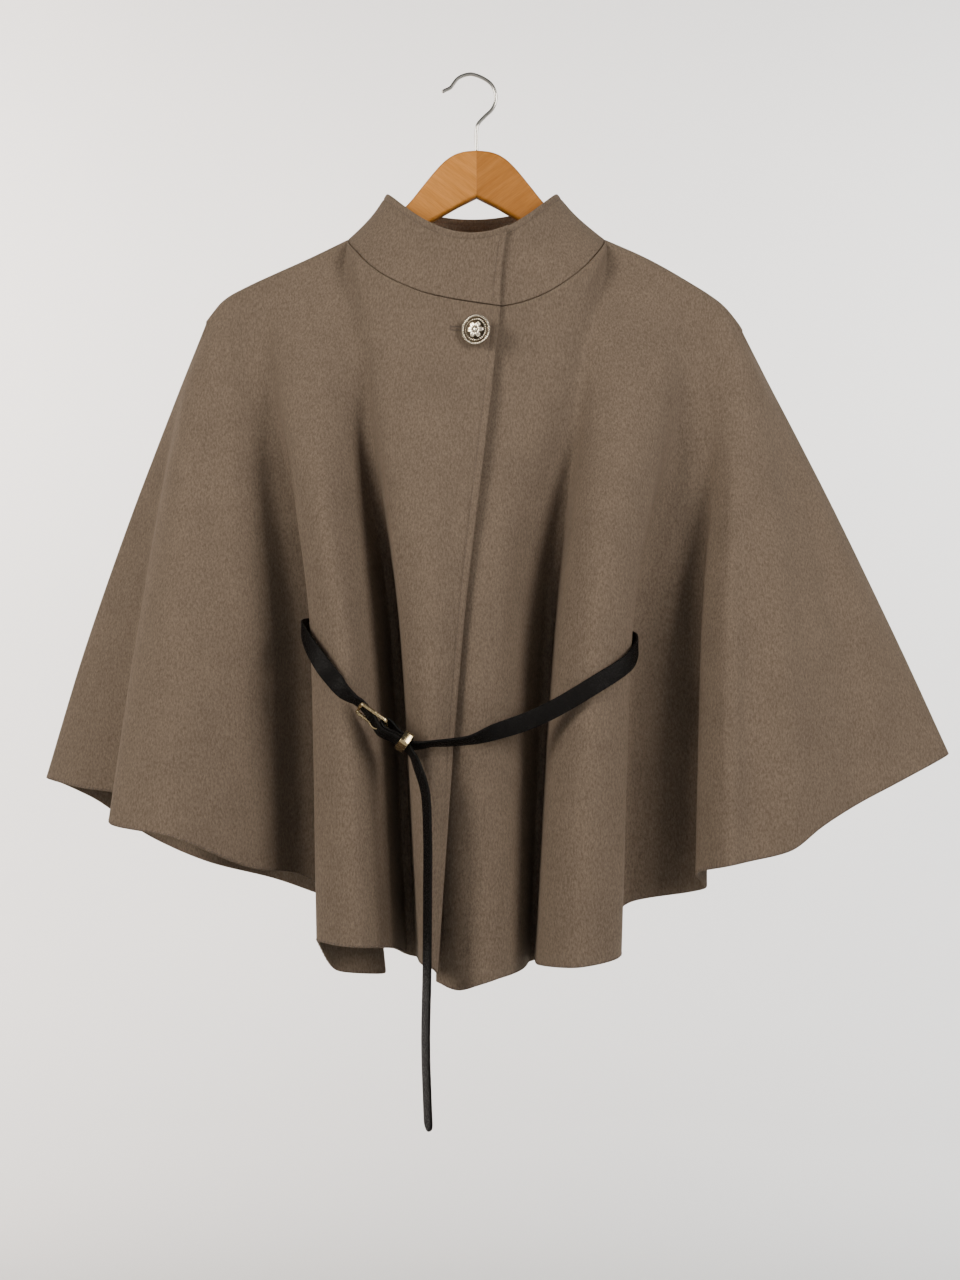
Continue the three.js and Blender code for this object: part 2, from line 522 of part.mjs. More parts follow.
function addHanger(cloak) {
  const groove = new THREE.CylinderGeometry(HOOK_WIRE / 2 + 0.3, HOOK_WIRE / 2 + 0.3, HANGER.grooveDepth + 10, 16);
  groove.rotateX(Math.PI / 2);
  groove.translate(0, 0, HANGER_OUTLINE[0].top - HANGER.grooveDepth / 2 + 5);
  for (const [name, side] of [["right", -1], ["left", 1]]) {
    const arm = solid(hangerArm(side)).subtract(solid(groove));
    const look = { color: WOODS[name], roughness: 0.45, metalness: 0 };
    addMesh(cloak, "hanger_arm_" + name, geometryOfSolid(arm), look);
  }
  const line = new THREE.CatmullRomCurve3(HOOK_LINE.map(([x, z]) => vec(x, 0, z)));
  const wire = new THREE.Shape().absarc(0, 0, HOOK_WIRE / 2, 0, 2 * Math.PI);
  const hook = new THREE.ExtrudeGeometry(wire, { extrudePath: line, steps: 44, curveSegments: 4 });
  addMesh(cloak, "hanger_hook", hook, { color: 0xc8c8c8, roughness: 0.2, metalness: 1 });
}

// The button's round body on its shank, turned out from the right front below the neck
function addButton(cloak) {
  const { radius, rim, dome, edge, shankRadius, shankLength } = BUTTON;
  const profile = [
    [0, 0], [shankRadius, 0], [shankRadius, shankLength], [radius - 1, shankLength], [radius, shankLength + 0.7],
    [radius, shankLength + edge], [radius - rim / 2, shankLength + edge + 0.6], [radius - rim, shankLength + edge],
    [radius * 0.6, shankLength + dome], [radius * 0.3, shankLength + dome + 0.5], [0, shankLength + dome + 0.6],
  ].map(([r, up]) => new THREE.Vector2(r, up));
  const button = new THREE.LatheGeometry(profile, 40);
  button.rotateX(Math.PI);
  const seat = clothPoint(BUTTON_SEAT.across, 1, BUTTON_SEAT.fall);
  const normal = clothNormal(BUTTON_SEAT.across, 1, BUTTON_SEAT.fall);
  const tilt = shankRadius * Math.sin(degToRad(BUTTON.turn));
  const mesh = addMesh(cloak, "button", button, { color: COLOURS.pewter, roughness: 0.35, metalness: 1 });
  mesh.position.copy(seat).addScaledVector(normal, WALL / 2 + 2 * SEAM_GAP + tilt);
  mesh.rotation.z = degToRad(-BUTTON.turn);
}

// A point in front of the cloth at a fold row and a height, with room for a belt turned by this many degrees
function beltSeat(u, z, turn) {
  const top = clothPoint(u, 1, 0);
  const hem = clothPoint(u, 1, 1);
  const point = clothPoint(u, 1, (z - top.z) / (hem.z - top.z));
  const reach = BELT.width * 0.5 * Math.sin(degToRad(turn)) + BELT.thickness * 0.5 * Math.cos(degToRad(turn));
  return point.setY(point.y - WALL / 2 - 2 * BELT.clearance - reach);
}

// The buckle's own frame: x runs along the belt to the keeper, y out of the belt's face, z across its width
function buckleFrame() {
  const along = vec(27.5, 0, -19.6).normalize();
  const upright = vec(-along.z, 0, along.x);
  const turn = degToRad(BUCKLE.turn);
  const face = vec(0, -Math.cos(turn), 0).addScaledVector(upright, -Math.sin(turn));
  const across = along.clone().cross(face);
  const frame = new THREE.Matrix4().makeBasis(along, face, across);
  return frame.setPosition(-86.5, -121, -571);
}

const HINGE_X = BUCKLE.length / 2 - BUCKLE.wire / 2;
const BAR_TO_STRAP = BUCKLE.wire * 0.71 + 2 * BELT.clearance + BELT.thickness / 2;
const LAYER = BELT.thickness + BELT.clearance + 0.25;

// The belt's middle line from the tail's tip to its doubled end at the buckle. Each stop has a point
// and the way in which the strap's outer face looks: heading is 0 to the front and turns to the wearer's left,
// tilt is down.
function beltStops() {
  const frame = buckleFrame();
  const look = (heading, tilt) => {
    const [h, t] = [degToRad(heading), degToRad(tilt)];
    return vec(Math.sin(h) * Math.cos(t), -Math.cos(h) * Math.cos(t), -Math.sin(t));
  };
  const at = (x, y, z, heading, tilt = 0) => ({ point: vec(x, y, z), face: look(heading, tilt) });
  const local = (x, y, faceX = 0, faceY = 1) => ({
    point: vec(x, y, 0).applyMatrix4(frame),
    face: vec(faceX, faceY, 0).transformDirection(frame),
  });
  const onCrest = (u, z, turn) => {
    const point = beltSeat(u, z, turn);
    return at(point.x, point.y, point.z, 0, turn);
  };
  const secondCrest = rowNamed("second crest", RIGHT_FRONT, 0);
  const centreCrest = rowNamed("centre crest", RIGHT_FRONT, 0);
  const leftCrest = rowNamed("second crest", LEFT_FRONT, LEFT_SEAM_AT + 1);
  return [
    at(-39.2, -128, -912, -64), at(-40.3, -128, -885, -64), at(-41.6, -128, -840, -64),
    at(-40.5, -128, -780, -64), at(-40, -128.5, -720, -64), at(-40, -129, -665, -64), at(-42, -129, -632, -62),
    at(-47.5, -128, -614, -60, 20), at(-51.5, -126, -604, -48, 48),
    local(KEEPER.at + 5, 1.5 * LAYER), local(KEEPER.at, 1.5 * LAYER), local(KEEPER.at - 8, 1.55 * LAYER),
    local(HINGE_X, BAR_TO_STRAP + LAYER), local(3, 1.6), local(-HINGE_X, -BAR_TO_STRAP),
    local(-HINGE_X - 7, -BAR_TO_STRAP),
    onCrest(secondCrest, -550.5, 40), onCrest(secondCrest + 0.2, -543, 14),
    at(-127, -112, -530, -14), at(-140, -100, -512, -50),
    at(-147.5, -84, -500, -84), at(-149, -62, -497, -92), at(-146.5, -44, -496, -105), at(-140, -28, -497, -115),
    at(-131.5, -11, -499, -120), at(-117, 4, -501, -145), at(-96, 13, -503, -170), at(-40, 15, -505, -180),
    at(40, 15, -505, -180), at(78, 9, -504, -200), at(100, -9, -504, -222), at(116, -32, -505, -230),
    at(130.5, -45, -506, -234), at(136.5, -54, -508, -250), at(138, -67, -511, -270),
    at(135.8, -84, -516, -290), at(127, -103, -527, -318),
    { ...onCrest(leftCrest, -546, 0), face: look(-360, 0) },
    at(64.3, -114.5, -565, -360), at(41.5, -113, -575.5, -360), at(15.6, -116, -584, -360, 25),
    at(-6, -120.5, -590.5, -360, 60), onCrest(centreCrest + 0.1, -593.5, 72), at(-47, -121.5, -594.6, -360, 66),
    local(KEEPER.at + 4.5, 0.5 * LAYER), local(KEEPER.at - 5, 0.5 * LAYER), local(HINGE_X, BAR_TO_STRAP),
    local(HINGE_X - BAR_TO_STRAP, 0, -1, 0), local(HINGE_X, -BAR_TO_STRAP, 0, -1),
    local(KEEPER.at - 8, -0.5 * LAYER, 0, -1), local(KEEPER.at + 5, -0.5 * LAYER, 0, -1),
  ];
}

function beltStrap() {
  const stops = beltStops();
  const line = new THREE.CatmullRomCurve3(stops.map((stop) => stop.point), false, "centripetal");
  const spans = stops.length - 1;
  const tipRound = BELT.width / 2;
  const sections = [];
  const tip = stops[0].point;
  for (let span = 0; span < spans; span += 1) {
    const gap = stops[span].point.distanceTo(stops[span + 1].point);
    const parts = span === 0 ? 7 : clamp(Math.round(gap / 6), 3, 5);
    const last = span === spans - 1 ? parts : parts - 1;
    for (let k = 0; k <= last; k += 1) {
      const along = k / parts;
      const point = line.getPoint((span + along) / spans);
      const tangent = line.getTangent((span + along) / spans);
      const face = stops[span].face.clone().lerp(stops[span + 1].face, along);
      face.addScaledVector(tangent, -face.dot(tangent)).normalize();
      const across = tangent.clone().cross(face);
      const fromTip = point.distanceTo(tip);
      const narrow = fromTip < tipRound ? Math.sqrt(1 - (1 - fromTip / tipRound) ** 2) : 1;
      const half = tipRound * Math.max(narrow, 0.25);
      sections.push(
        [[-1, -1], [-1, 1], [1, 1], [1, -1]].map(([w, t]) =>
          point.clone().addScaledVector(across, w * half).addScaledVector(face, (t * BELT.thickness) / 2),
        ),
      );
    }
  }
  return loft(sections);
}

// A flat ring in the plane across the first two axes, with this outline and this width of plate
function ringGeometry(length, width, plate, depth) {
  const outline = (l, w) => {
    const corners = [[-l, -w], [l, -w], [l, w], [-l, w]].map(([x, y]) => new THREE.Vector2(x / 2, y / 2));
    return corners;
  };
  const shape = new THREE.Shape(outline(length, width));
  shape.holes.push(new THREE.Path(outline(length - 2 * plate, width - 2 * plate)));
  const ring = new THREE.ExtrudeGeometry(shape, { depth, bevelEnabled: false });
  return ring.translate(0, 0, -depth / 2);
}

// The prong is hooked round the hinge bar and rests across the frame's far bar
function prongLine() {
  const reach = BUCKLE.wire * 0.71 + BELT.clearance + BUCKLE.prongRadius;
  const points = [];
  for (let angle = -150; angle <= 90; angle += 30) {
    const a = degToRad(angle);
    points.push(vec(HINGE_X + reach * Math.cos(a), reach * Math.sin(a), 0));
  }
  points.push(vec(HINGE_X - 6, BAR_TO_STRAP + LAYER + 0.8, 0));
  points.push(vec(0, 5.2, 0));
  points.push(vec(-HINGE_X - 1, reach + 0.3, 0));
  return new THREE.CatmullRomCurve3(points, false, "centripetal");
}

function prongGeometry(more) {
  const round = new THREE.Shape().absarc(0, 0, BUCKLE.prongRadius + more, 0, 2 * Math.PI);
  return new THREE.ExtrudeGeometry(round, { extrudePath: prongLine(), steps: 26, curveSegments: 4 });
}

function addBelt(cloak) {
  const frame = buckleFrame();
  const leather = { color: COLOURS.leather, roughness: 0.4, metalness: 0 };
  const gold = { color: COLOURS.gold, roughness: 0.25, metalness: 1 };
  const prongRoom = solid(prongGeometry(0.35).applyMatrix4(frame));
  const strap = solid(beltStrap()).subtract(prongRoom);
  addMesh(cloak, "belt_strap", geometryOfSolid(strap), leather);
  const buckle = new THREE.Group();
  frame.decompose(buckle.position, buckle.quaternion, buckle.scale);
  cloak.add(buckle);
  const ring = ringGeometry(BUCKLE.length, BUCKLE.width, BUCKLE.wire, BUCKLE.wire).rotateX(Math.PI / 2);
  addMesh(buckle, "buckle_frame", ring, gold);
  addMesh(buckle, "buckle_prong", prongGeometry(0), gold);
  const stack = 3 * LAYER + 2 * (KEEPER.room + KEEPER.plate);
  const keeper = ringGeometry(BELT.width + 2 * (KEEPER.room + KEEPER.plate), stack, KEEPER.plate, KEEPER.length);
  keeper.rotateY(Math.PI / 2).translate(KEEPER.at, LAYER / 2, 0);
  addMesh(buckle, "belt_keeper", keeper, gold);
}

const cloak = new THREE.Group();
cloak.position.x = MIDDLE_X;
addPanels(cloak);
addCollar(cloak);
addHanger(cloak);
addButton(cloak);
addBelt(cloak);

export default cloak;
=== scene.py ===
# A hip-length wool cape with a funnel collar, one metal button and a slim leather belt, hanging on a
# two-piece wooden hanger by its wire hook. Sizes are in millimetres from the hanger's middle, with +Z up
# and the front along -Y, and each mesh is turned to metres when it is made. Right is the wearer's right, -X.
import math

import bpy
import numpy as np
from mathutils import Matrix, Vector


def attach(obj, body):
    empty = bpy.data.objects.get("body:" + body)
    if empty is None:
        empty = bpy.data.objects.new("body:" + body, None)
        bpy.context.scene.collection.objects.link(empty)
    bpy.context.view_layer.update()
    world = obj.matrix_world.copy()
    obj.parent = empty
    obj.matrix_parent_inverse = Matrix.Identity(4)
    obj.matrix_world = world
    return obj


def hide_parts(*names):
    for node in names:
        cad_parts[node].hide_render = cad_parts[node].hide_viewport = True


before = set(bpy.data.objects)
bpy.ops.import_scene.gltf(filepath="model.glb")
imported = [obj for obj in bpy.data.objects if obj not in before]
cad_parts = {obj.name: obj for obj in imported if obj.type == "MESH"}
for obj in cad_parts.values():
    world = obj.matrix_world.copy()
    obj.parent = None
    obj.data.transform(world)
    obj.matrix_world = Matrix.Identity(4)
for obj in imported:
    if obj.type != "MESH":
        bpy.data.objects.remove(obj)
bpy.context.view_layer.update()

# The three panels of the cape
# Double-faced wool coating, about 2.4 mm thick, cut with a flare, joined over the shoulders and down the
# sides and hung so that its fullness falls into deep folds. Both layers are closed by hand at the hem.
MIDDLE_X = 5.4
WALL = 2.4
SEAM_GAP = 0.3
CHEST_Z = -290
WAIST_Z = -510
NECK = {"half_width": 115, "front_y": -65, "back_y": 44, "side_z": -150, "front_drop": 71, "back_drop": 28}
# How far the neck seam has dropped at each turn round the neck, in degrees from the side
NECK_FALL = {
    "right front": [
        (0, 0), (22, 0.2), (34, 0.385), (45, 0.553), (57, 0.704), (68, 0.82), (81, 0.905), (92, 0.955),
        (101, 0.99),
    ],
    "left front": [
        (0, 0), (16, 0.155), (25, 0.276), (34, 0.42), (45, 0.6), (56, 0.766), (65, 0.876), (73, 0.945),
        (82, 0.985), (101, 1.0),
    ],
    "back": [(0, 0), (30, 0.36), (60, 0.77), (90, 1)],
}
# How far the left front lies behind the right one, and between which places that fades out
UNDERLAP = {"depth": 4, "full_x": 40, "none_x": 90}
# How steeply the wall stands at the sides of the neck seam, in degrees
SEAM_TILT = 58
# The cloth's turn over the shoulder, wide between the neck and the tip and small at the tip
ROLL = {"radius": 10, "tip_x": 214, "end_x": 236, "tip_radius": 3, "before_neck": 35, "past_neck": 3}
# How far the cloth falls straight before it turns, at the neck and at the shoulder's tip
STRAIGHT_NECK = {"fall": 5, "fades_from": 15, "fades_by": 1}
STRAIGHT_TIP = {"fall": 2, "from_x": 222, "full_x": 234}
# How far the hanger's arms come forward, and how far out
HANGER_SWEEP = {"depth": 18, "reach": 215}

# Each row of a fold table is one crest, valley or edge: its x where it starts on the neck seam or shoulder,
# its x and y at the chest, its x and y at the waist, and its x, y and z at the hem.
RIGHT_FRONT = {
    "front edge": (20.4, 13.4, -73, -12, -101, -33, -104, -786.5),
    "centre crest": (-20, -31, -79, -36.8, -114, -38.5, -115, -780),
    "centre fold's side": (-93, -86, -66, -61.4, -95, -46, -94, -781),
    "first valley, inner": (-106, -95, -52, -66, -35, -53, -33, -786),
    "first valley, outer": (-115, -103, -50, -75, -35, -62, -33, -784),
    "second fold's inner side": (-124, -118.5, -57, -88.9, -80, -72.2, -88, -768.5),
    "second crest": (-140, -141.8, -62, -112.1, -108, -100.5, -118, -763),
    "second fold's outer side": (-176, -169.7, -50, -140.6, -82, -134.9, -88, -762),
    "layer folded under it": (-183, -173, -41, -122.1, -60, -120, -71, -791.5),
    "the under layer's turn": (-189, -176.5, -35, -110, -43, -79, -50, -797.5),
    "second valley": (-195, -182, -31, -129.5, -27, -105, -28, -765),
    "side fold's slope": (-203, -194, -30, -157.2, -32, -151, -32, -716),
    "side fold's middle": (-210, -214.1, -36, -202.5, -72, -193.1, -78, -702),
    "side crest": (-217, -240, -38, -256, -84, -259.9, -108, -671),
    "side fold's outer side": (-224, -256, -28, -294, -56, -312.9, -80, -662.7),
    "side valley": (-229, -261, -19, -297, -36, -311, -46, -643),
    "wing": (-234, -265, -12, -317, -26, -346.9, -34, -638),
}
RIGHT_SIDE_SEAM = {"right side seam": (-240, -267.9, -4, -348.7, -4, -385.5, -4, -631.5)}
BACK = {
    "right wing": (-230, -262, 3, -325, 10, -350, 14, -650),
    "right wing's crest": (-216, -246, 11, -285, 25, -300, 36, -689),
    "right outer valley": (-196, -215, 12, -235, 16, -245, 16, -709),
    "right outer crest": (-160, -168, 22, -180, 34, -185, 44, -729),
    "right inner valley": (-108, -112, 20, -121, 19, -125, 20, -745),
    "right inner crest": (-55, -55, 32, -58, 40, -60, 46, -764),
    "middle valley": (8, 8, 28, 9, 26, 10, 22, -770),
    "left inner crest": (70, 68, 32, 75, 40, 80, 46, -758),
    "left inner valley": (115, 125, 20, 140, 18, 150, 18, -735),
    "left outer crest": (165, 175, 22, 198, 34, 215, 44, -710),
    "left outer valley": (200, 222, 13, 255, 16, 275, 16, -690),
    "left wing's crest": (218, 250, 12, 305, 24, 330, 34, -656),
    "left wing": (228, 262, 3, 350, 10, 385, 14, -631),
}
LEFT_SIDE_SEAM = {"left side seam": (236, 268, -3, 377.4, -3, 423.2, -5, -610)}
LEFT_FRONT = {
    "outer edge of the wing": (229, 263, -12, 348.9, -30, 372.1, -36, -632),
    "wing's dip": (226, 258, -20, 316.3, -42, 331, -54, -650),
    "left side fold's outer side": (224, 252.6, -26, 286.9, -60, 296, -76, -667),
    "second side crest": (221, 244.2, -33, 259.5, -76, 265, -90, -687),
    "side fold's dip": (218, 235.3, -37, 231.8, -78, 237.8, -88, -694),
    "first side crest": (214, 226.2, -38, 215.5, -84, 213.5, -98, -698),
    "side fold's inner side": (209, 213.5, -35, 195.5, -56, 189.2, -64, -709),
    "its turn": (204, 207, -33, 201.4, -38, 201.7, -42, -724.5),
    "left second valley, outer": (199, 200, -32, 188.4, -30, 187.6, -36, -729),
    "left second valley, inner": (191, 186, -34, 142, -32, 133.7, -32, -739),
    "return under the fold": (184, 175, -41, 126.5, -52, 112.6, -52, -762),
    "left second fold's outer side": (175, 166.7, -50, 131.4, -84, 122.4, -90, -774),
    "left second crest": (150, 134.3, -62, 99.1, -110, 86, -120, -779),
    "left second fold's inner side": (122, 104, -57, 69.6, -80, 51.5, -85, -783),
    "left first valley, outer": (115, 92, -48, 68.5, -34, 52, -35, -788),
    "left first valley, inner": (106, 84, -48, 60, -34, 46, -36, -790),
    "slope into the valley": (88, 70, -58, 45, -55, 41, -60, -791),
    "left centre fold's side": (45, 37.6, -64, 20, -90, 24.3, -92, -792),
    "left centre crest": (0, 1.4, -67, -1.1, -97, 3.2, -104, -796.6),
    "turn of the under edge": (-16, -16, -65, -20, -92, -16, -97, -803),
    "under edge": (-22, -24, -64, -30, -90, -34, -82, -798),
}
FOLDS = {**RIGHT_FRONT, **RIGHT_SIDE_SEAM, **BACK, **LEFT_SIDE_SEAM, **LEFT_FRONT}
FOLD_NAMES = list(FOLDS)
RIGHT_SEAM_AT = FOLD_NAMES.index("right side seam")
LEFT_SEAM_AT = FOLD_NAMES.index("left side seam")
FRONT_END_AT = len(FOLD_NAMES) - 1

# The shoulder lines, as the distance from the hanger's middle and the height there
RIGHT_SHOULDER = [(115, -150), (150, -168), (177, -181), (205, -195.2), (224.6, -207.3), (240, -225)]
LEFT_SHOULDER = [(115, -150), (150, -166.5), (185.4, -187.5), (216.6, -209.5), (231, -225.3), (240, -238)]

# Slits for the belt, hidden in a valley: the fold they follow, their sides as parts of the way to the next
BELT_SLITS = {
    "right front": ("second valley", (0.15, 0.5)),
    "left front": ("left second valley, inner", (0.5, 0.85)),
}
SLIT_FALL = (0.47, 0.61)

# Distances from an edge at which the cloth has its columns: at a topstitched edge, and at a seam or hem
TOPSTITCHED = [0, 0.6, 1.4, 2.8, 4.4, 5.3, 6, 6.7, 7.6, 9.5]
PLAIN_EDGE = [0, 0.6, 1.4, 2.6]
TOPSTITCH_AT = 6
HAND_STITCH_AT = 1.4


def smoothstep(value, low, high):
    part = np.clip((value - low) / (high - low), 0, 1)
    return part * part * (3 - 2 * part)


def unit(vectors):
    return vectors / np.linalg.norm(vectors, axis=-1, keepdims=True)


def through(knots, values, at):
    """A smooth curve through each row of a table, without overshoot between its values."""
    slopes = np.diff(values, axis=1) / np.diff(knots, axis=1)
    product = slopes[:, :-1] * slopes[:, 1:]
    total = slopes[:, :-1] + slopes[:, 1:]
    inner = np.where(product > 0, 2 * product / np.where(product > 0, total, 1), 0)
    tangents = np.concatenate([slopes[:, :1], inner, slopes[:, -1:]], axis=1)
    rising = np.sign(knots[:, -1:] - knots[:, :1])
    span = np.zeros(at.shape, int)
    for k in range(1, knots.shape[1] - 1):
        span += (at - knots[:, k : k + 1]) * rising > 0
    row = np.arange(len(knots))[:, None]
    width = knots[row, span + 1] - knots[row, span]
    part = np.clip((at - knots[row, span]) / width, 0, 1)
    bend = part * part * (3 - 2 * part)
    leave = part * (1 - part) ** 2 * width * tangents[row, span]
    arrive = part * part * (part - 1) * width * tangents[row, span + 1]
    return values[row, span] + (values[row, span + 1] - values[row, span]) * bend + leave + arrive


def table_at(table, place):
    """The second column of a two-column table at places in its first."""
    knots, values = (np.array([column], float) for column in zip(*table))
    return through(knots, values, np.atleast_2d(place))[0]


def shoulder_z(x):
    return np.where(x < 0, table_at(RIGHT_SHOULDER, np.abs(x)), table_at(LEFT_SHOULDER, np.abs(x)))


def hanger_y(x):
    return -HANGER_SWEEP["depth"] * np.minimum(np.abs(x) / HANGER_SWEEP["reach"], 1) ** 2


def underlap(x, half):
    """How far the left front lies behind the right one at the neck."""
    if half != "left front":
        return np.zeros_like(x)
    return UNDERLAP["depth"] * (1 - smoothstep(x, UNDERLAP["full_x"], UNDERLAP["none_x"]))


def neck_seam(x, half):
    towards = {"right front": -x, "left front": x, "back": np.abs(x)}[half]
    turn = np.arccos(np.clip(towards / NECK["half_width"], -1, 1))
    side = "back" if half == "back" else "front"
    side_y = hanger_y(np.array(NECK["half_width"]))
    y = side_y + (NECK[side + "_y"] - side_y) * np.sin(turn) + underlap(x, half)
    z = NECK["side_z"] - NECK[side + "_drop"] * table_at(NECK_FALL[half], np.degrees(turn))
    return np.stack([x, y, z], -1)


def roll_at(top, at):
    """How far the cloth's turn over the shoulder reaches to the front or the back."""
    shrink = smoothstep(abs(top), ROLL["tip_x"], ROLL["end_x"])
    neck = NECK["half_width"]
    grow = smoothstep(abs(top), neck - ROLL["before_neck"], neck + ROLL["past_neck"])
    radius = (ROLL["radius"] + (ROLL["tip_radius"] - ROLL["radius"]) * shrink) * grow
    if at in (RIGHT_SEAM_AT, LEFT_SEAM_AT):
        return 0
    return radius if RIGHT_SEAM_AT < at < LEFT_SEAM_AT else -radius


FOLD_NUMBERS = np.array([(*row, roll_at(row[0], at)) for at, row in enumerate(FOLDS.values())], float).T
FOLD_PLACES = np.tile(np.arange(len(FOLDS), dtype=float), (9, 1))


def cloth_points(places, levels, half):
    """The cloth's middle surface at places between the folds and levels of (turn over shoulder, fall)."""
    numbers = through(FOLD_PLACES, FOLD_NUMBERS, np.tile(places, (9, 1)))
    top, chest_x, chest_y, waist_x, waist_y, hem_x, hem_y, hem_z, roll = numbers
    over_ridge = np.stack([top, hanger_y(top), shoulder_z(top)], -1)
    on_neck = np.abs(top) < NECK["half_width"]
    start = np.where(on_neck[:, None], neck_seam(top, half), over_ridge)
    turn, fall = np.array(levels, float).T
    angle = turn * math.pi / 2
    y = start[:, 1:2] + roll[:, None] * np.sin(angle)
    fade_from, fade_by = (NECK["half_width"] - STRAIGHT_NECK[key] for key in ("fades_from", "fades_by"))
    at_neck = STRAIGHT_NECK["fall"] * (1 - smoothstep(np.abs(top), fade_from, fade_by))
    at_tip = STRAIGHT_TIP["fall"] * smoothstep(np.abs(top), STRAIGHT_TIP["from_x"], STRAIGHT_TIP["full_x"])
    straight = np.maximum(at_neck, at_tip)
    z = start[:, 2:3] - np.abs(roll)[:, None] * (1 - np.cos(angle)) - straight[:, None] * turn
    height = z + (hem_z[:, None] - z) * fall
    foot_y, foot_z = y[:, -1], z[:, -1]
    chest, waist = np.full_like(top, CHEST_Z), np.full_like(top, WAIST_Z)
    knots = np.stack([foot_z, chest, waist, hem_z], 1)
    x_down = through(knots, np.stack([start[:, 0], chest_x, waist_x, hem_x], 1), height)
    y_down = through(knots, np.stack([foot_y, chest_y, waist_y, hem_y], 1), height)
    falling = fall > 0
    x = np.where(falling, x_down, start[:, 0:1])
    return np.stack([x, np.where(falling, y_down, y), height], -1)


# The rows of the cloth's grid, as (turn over the shoulder, fall to the hem), and how wide its columns are
CLOTH_LEVELS = [(turn, 0) for turn in np.linspace(0, 1, 9)]
CLOTH_LEVELS += [(1, fall) for fall in np.linspace(0, 1, 141)[1:]]
COLUMN_PITCH = 4.2


def columns_between(first, last, half):
    """Places between the folds, closer where the cloth is wider, with one at each side of a belt slit."""
    marks = np.arange(first, last + 1, dtype=float)
    rows = cloth_points(marks, [(1, 0), (1, 0.35), (1, 0.65), (1, 1)], half)
    widest = np.linalg.norm(np.diff(rows, axis=0), axis=-1).max(axis=1)
    counts = np.maximum(4, np.ceil(widest / COLUMN_PITCH)).astype(int)
    places = [mark + k / count for mark, count in zip(marks, counts) for k in range(count)]
    places.append(float(last))
    if half in BELT_SLITS:
        fold, sides = BELT_SLITS[half]
        places += [FOLD_NAMES.index(fold) + side for side in sides]
    return np.unique(np.round(places, 6))


def respaced(points, distances, reach):
    """Lines of points with more at these distances from their start, the others moved aside for them."""
    steps = np.linalg.norm(np.diff(points, axis=0), axis=-1)
    along = np.concatenate([np.zeros((1, points.shape[1])), np.cumsum(steps, axis=0)])
    first = distances[-1] + (distances[-1] - distances[-2])
    moved = along + first * np.exp(-along / reach)
    moved[-1] = along[-1]
    wanted = np.concatenate([np.repeat(np.array(distances, float)[:, None], points.shape[1], 1), moved])
    made = np.empty((*wanted.shape, 3))
    for line in range(points.shape[1]):
        for axis in range(3):
            made[:, line, axis] = np.interp(wanted[:, line], along[:, line], points[:, line, axis])
    return made


def normals_of(points):
    normals = np.cross(np.gradient(points, axis=0), np.gradient(points, axis=1))
    return normals / np.maximum(np.linalg.norm(normals, axis=-1, keepdims=True), 1e-9)


def seam_direction(x, half):
    """The way in which a wall ends at the neck or shoulder seam, so that both edges face each other."""
    slope = shoulder_z(x + 0.5) - shoulder_z(x - 0.5)
    ridge = unit(np.stack([-slope, np.zeros_like(x), np.ones_like(x)], -1))
    turn = np.arccos(np.minimum(np.abs(x) / NECK["half_width"], 1))
    tilt = np.radians(SEAM_TILT * np.cos(turn))
    facing = 1 if half == "back" else -1
    flat = np.cos(tilt)
    neck = np.stack([np.sign(x) * np.cos(turn) * flat, facing * np.sin(turn) * flat, np.sin(tilt)], -1)
    return np.where((np.abs(x) > NECK["half_width"])[:, None], ridge, neck)


def wall_mesh(outer, inner, open_cells):
    """Corners and faces of a closed wall between two grids, with an edge round it and round each opening."""
    columns, rows = outer.shape[:2]
    filled = np.zeros((columns + 1, rows + 1), bool)
    filled[1:-1, 1:-1] = ~open_cells
    index = np.arange(columns * rows).reshape(columns, rows)
    low = columns * rows
    a, b, c, d = index[:-1, :-1], index[1:, :-1], index[1:, 1:], index[:-1, 1:]
    here = filled[1:-1, 1:-1]
    faces = [np.stack([a, b, c, d], -1)[here], np.stack([d, c, b, a], -1)[here] + low]
    sides = [
        (a, b, filled[1:-1, :-2]),
        (b, c, filled[2:, 1:-1]),
        (c, d, filled[1:-1, 2:]),
        (d, a, filled[:-2, 1:-1]),
    ]
    for start, end, neighbour in sides:
        edge = here & ~neighbour
        faces.append(np.stack([start, start + low, end + low, end], -1)[edge])
    corners, faces = np.concatenate([outer.reshape(-1, 3), inner.reshape(-1, 3)]), np.concatenate(faces)
    used = np.unique(faces)
    return corners[used], np.searchsorted(used, faces)


def new_piece(name, corners, faces, material, slot, replaced):
    """A smooth-shaded piece in metres that rides on the body and stands for the CAD nodes it replaces."""
    mesh = bpy.data.meshes.new(name)
    metres = (np.asarray(corners, float) + (MIDDLE_X, 0, 0)) / 1000
    mesh.from_pydata(metres.tolist(), [], [list(map(int, face)) for face in faces])
    mesh.polygons.foreach_set("use_smooth", [True] * len(mesh.polygons))
    mesh.materials.append(material)
    piece = bpy.data.objects.new(name, mesh)
    bpy.context.scene.collection.objects.link(piece)
    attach(piece, "root")
    if replaced:
        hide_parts(*replaced)
    return piece


def linear(code):
    """An sRGB hex colour as linear values."""
    parts = [int(code[k : k + 2], 16) / 255 for k in (1, 3, 5)]
    return (*[part / 12.92 if part <= 0.04045 else ((part + 0.055) / 1.055) ** 2.4 for part in parts], 1)


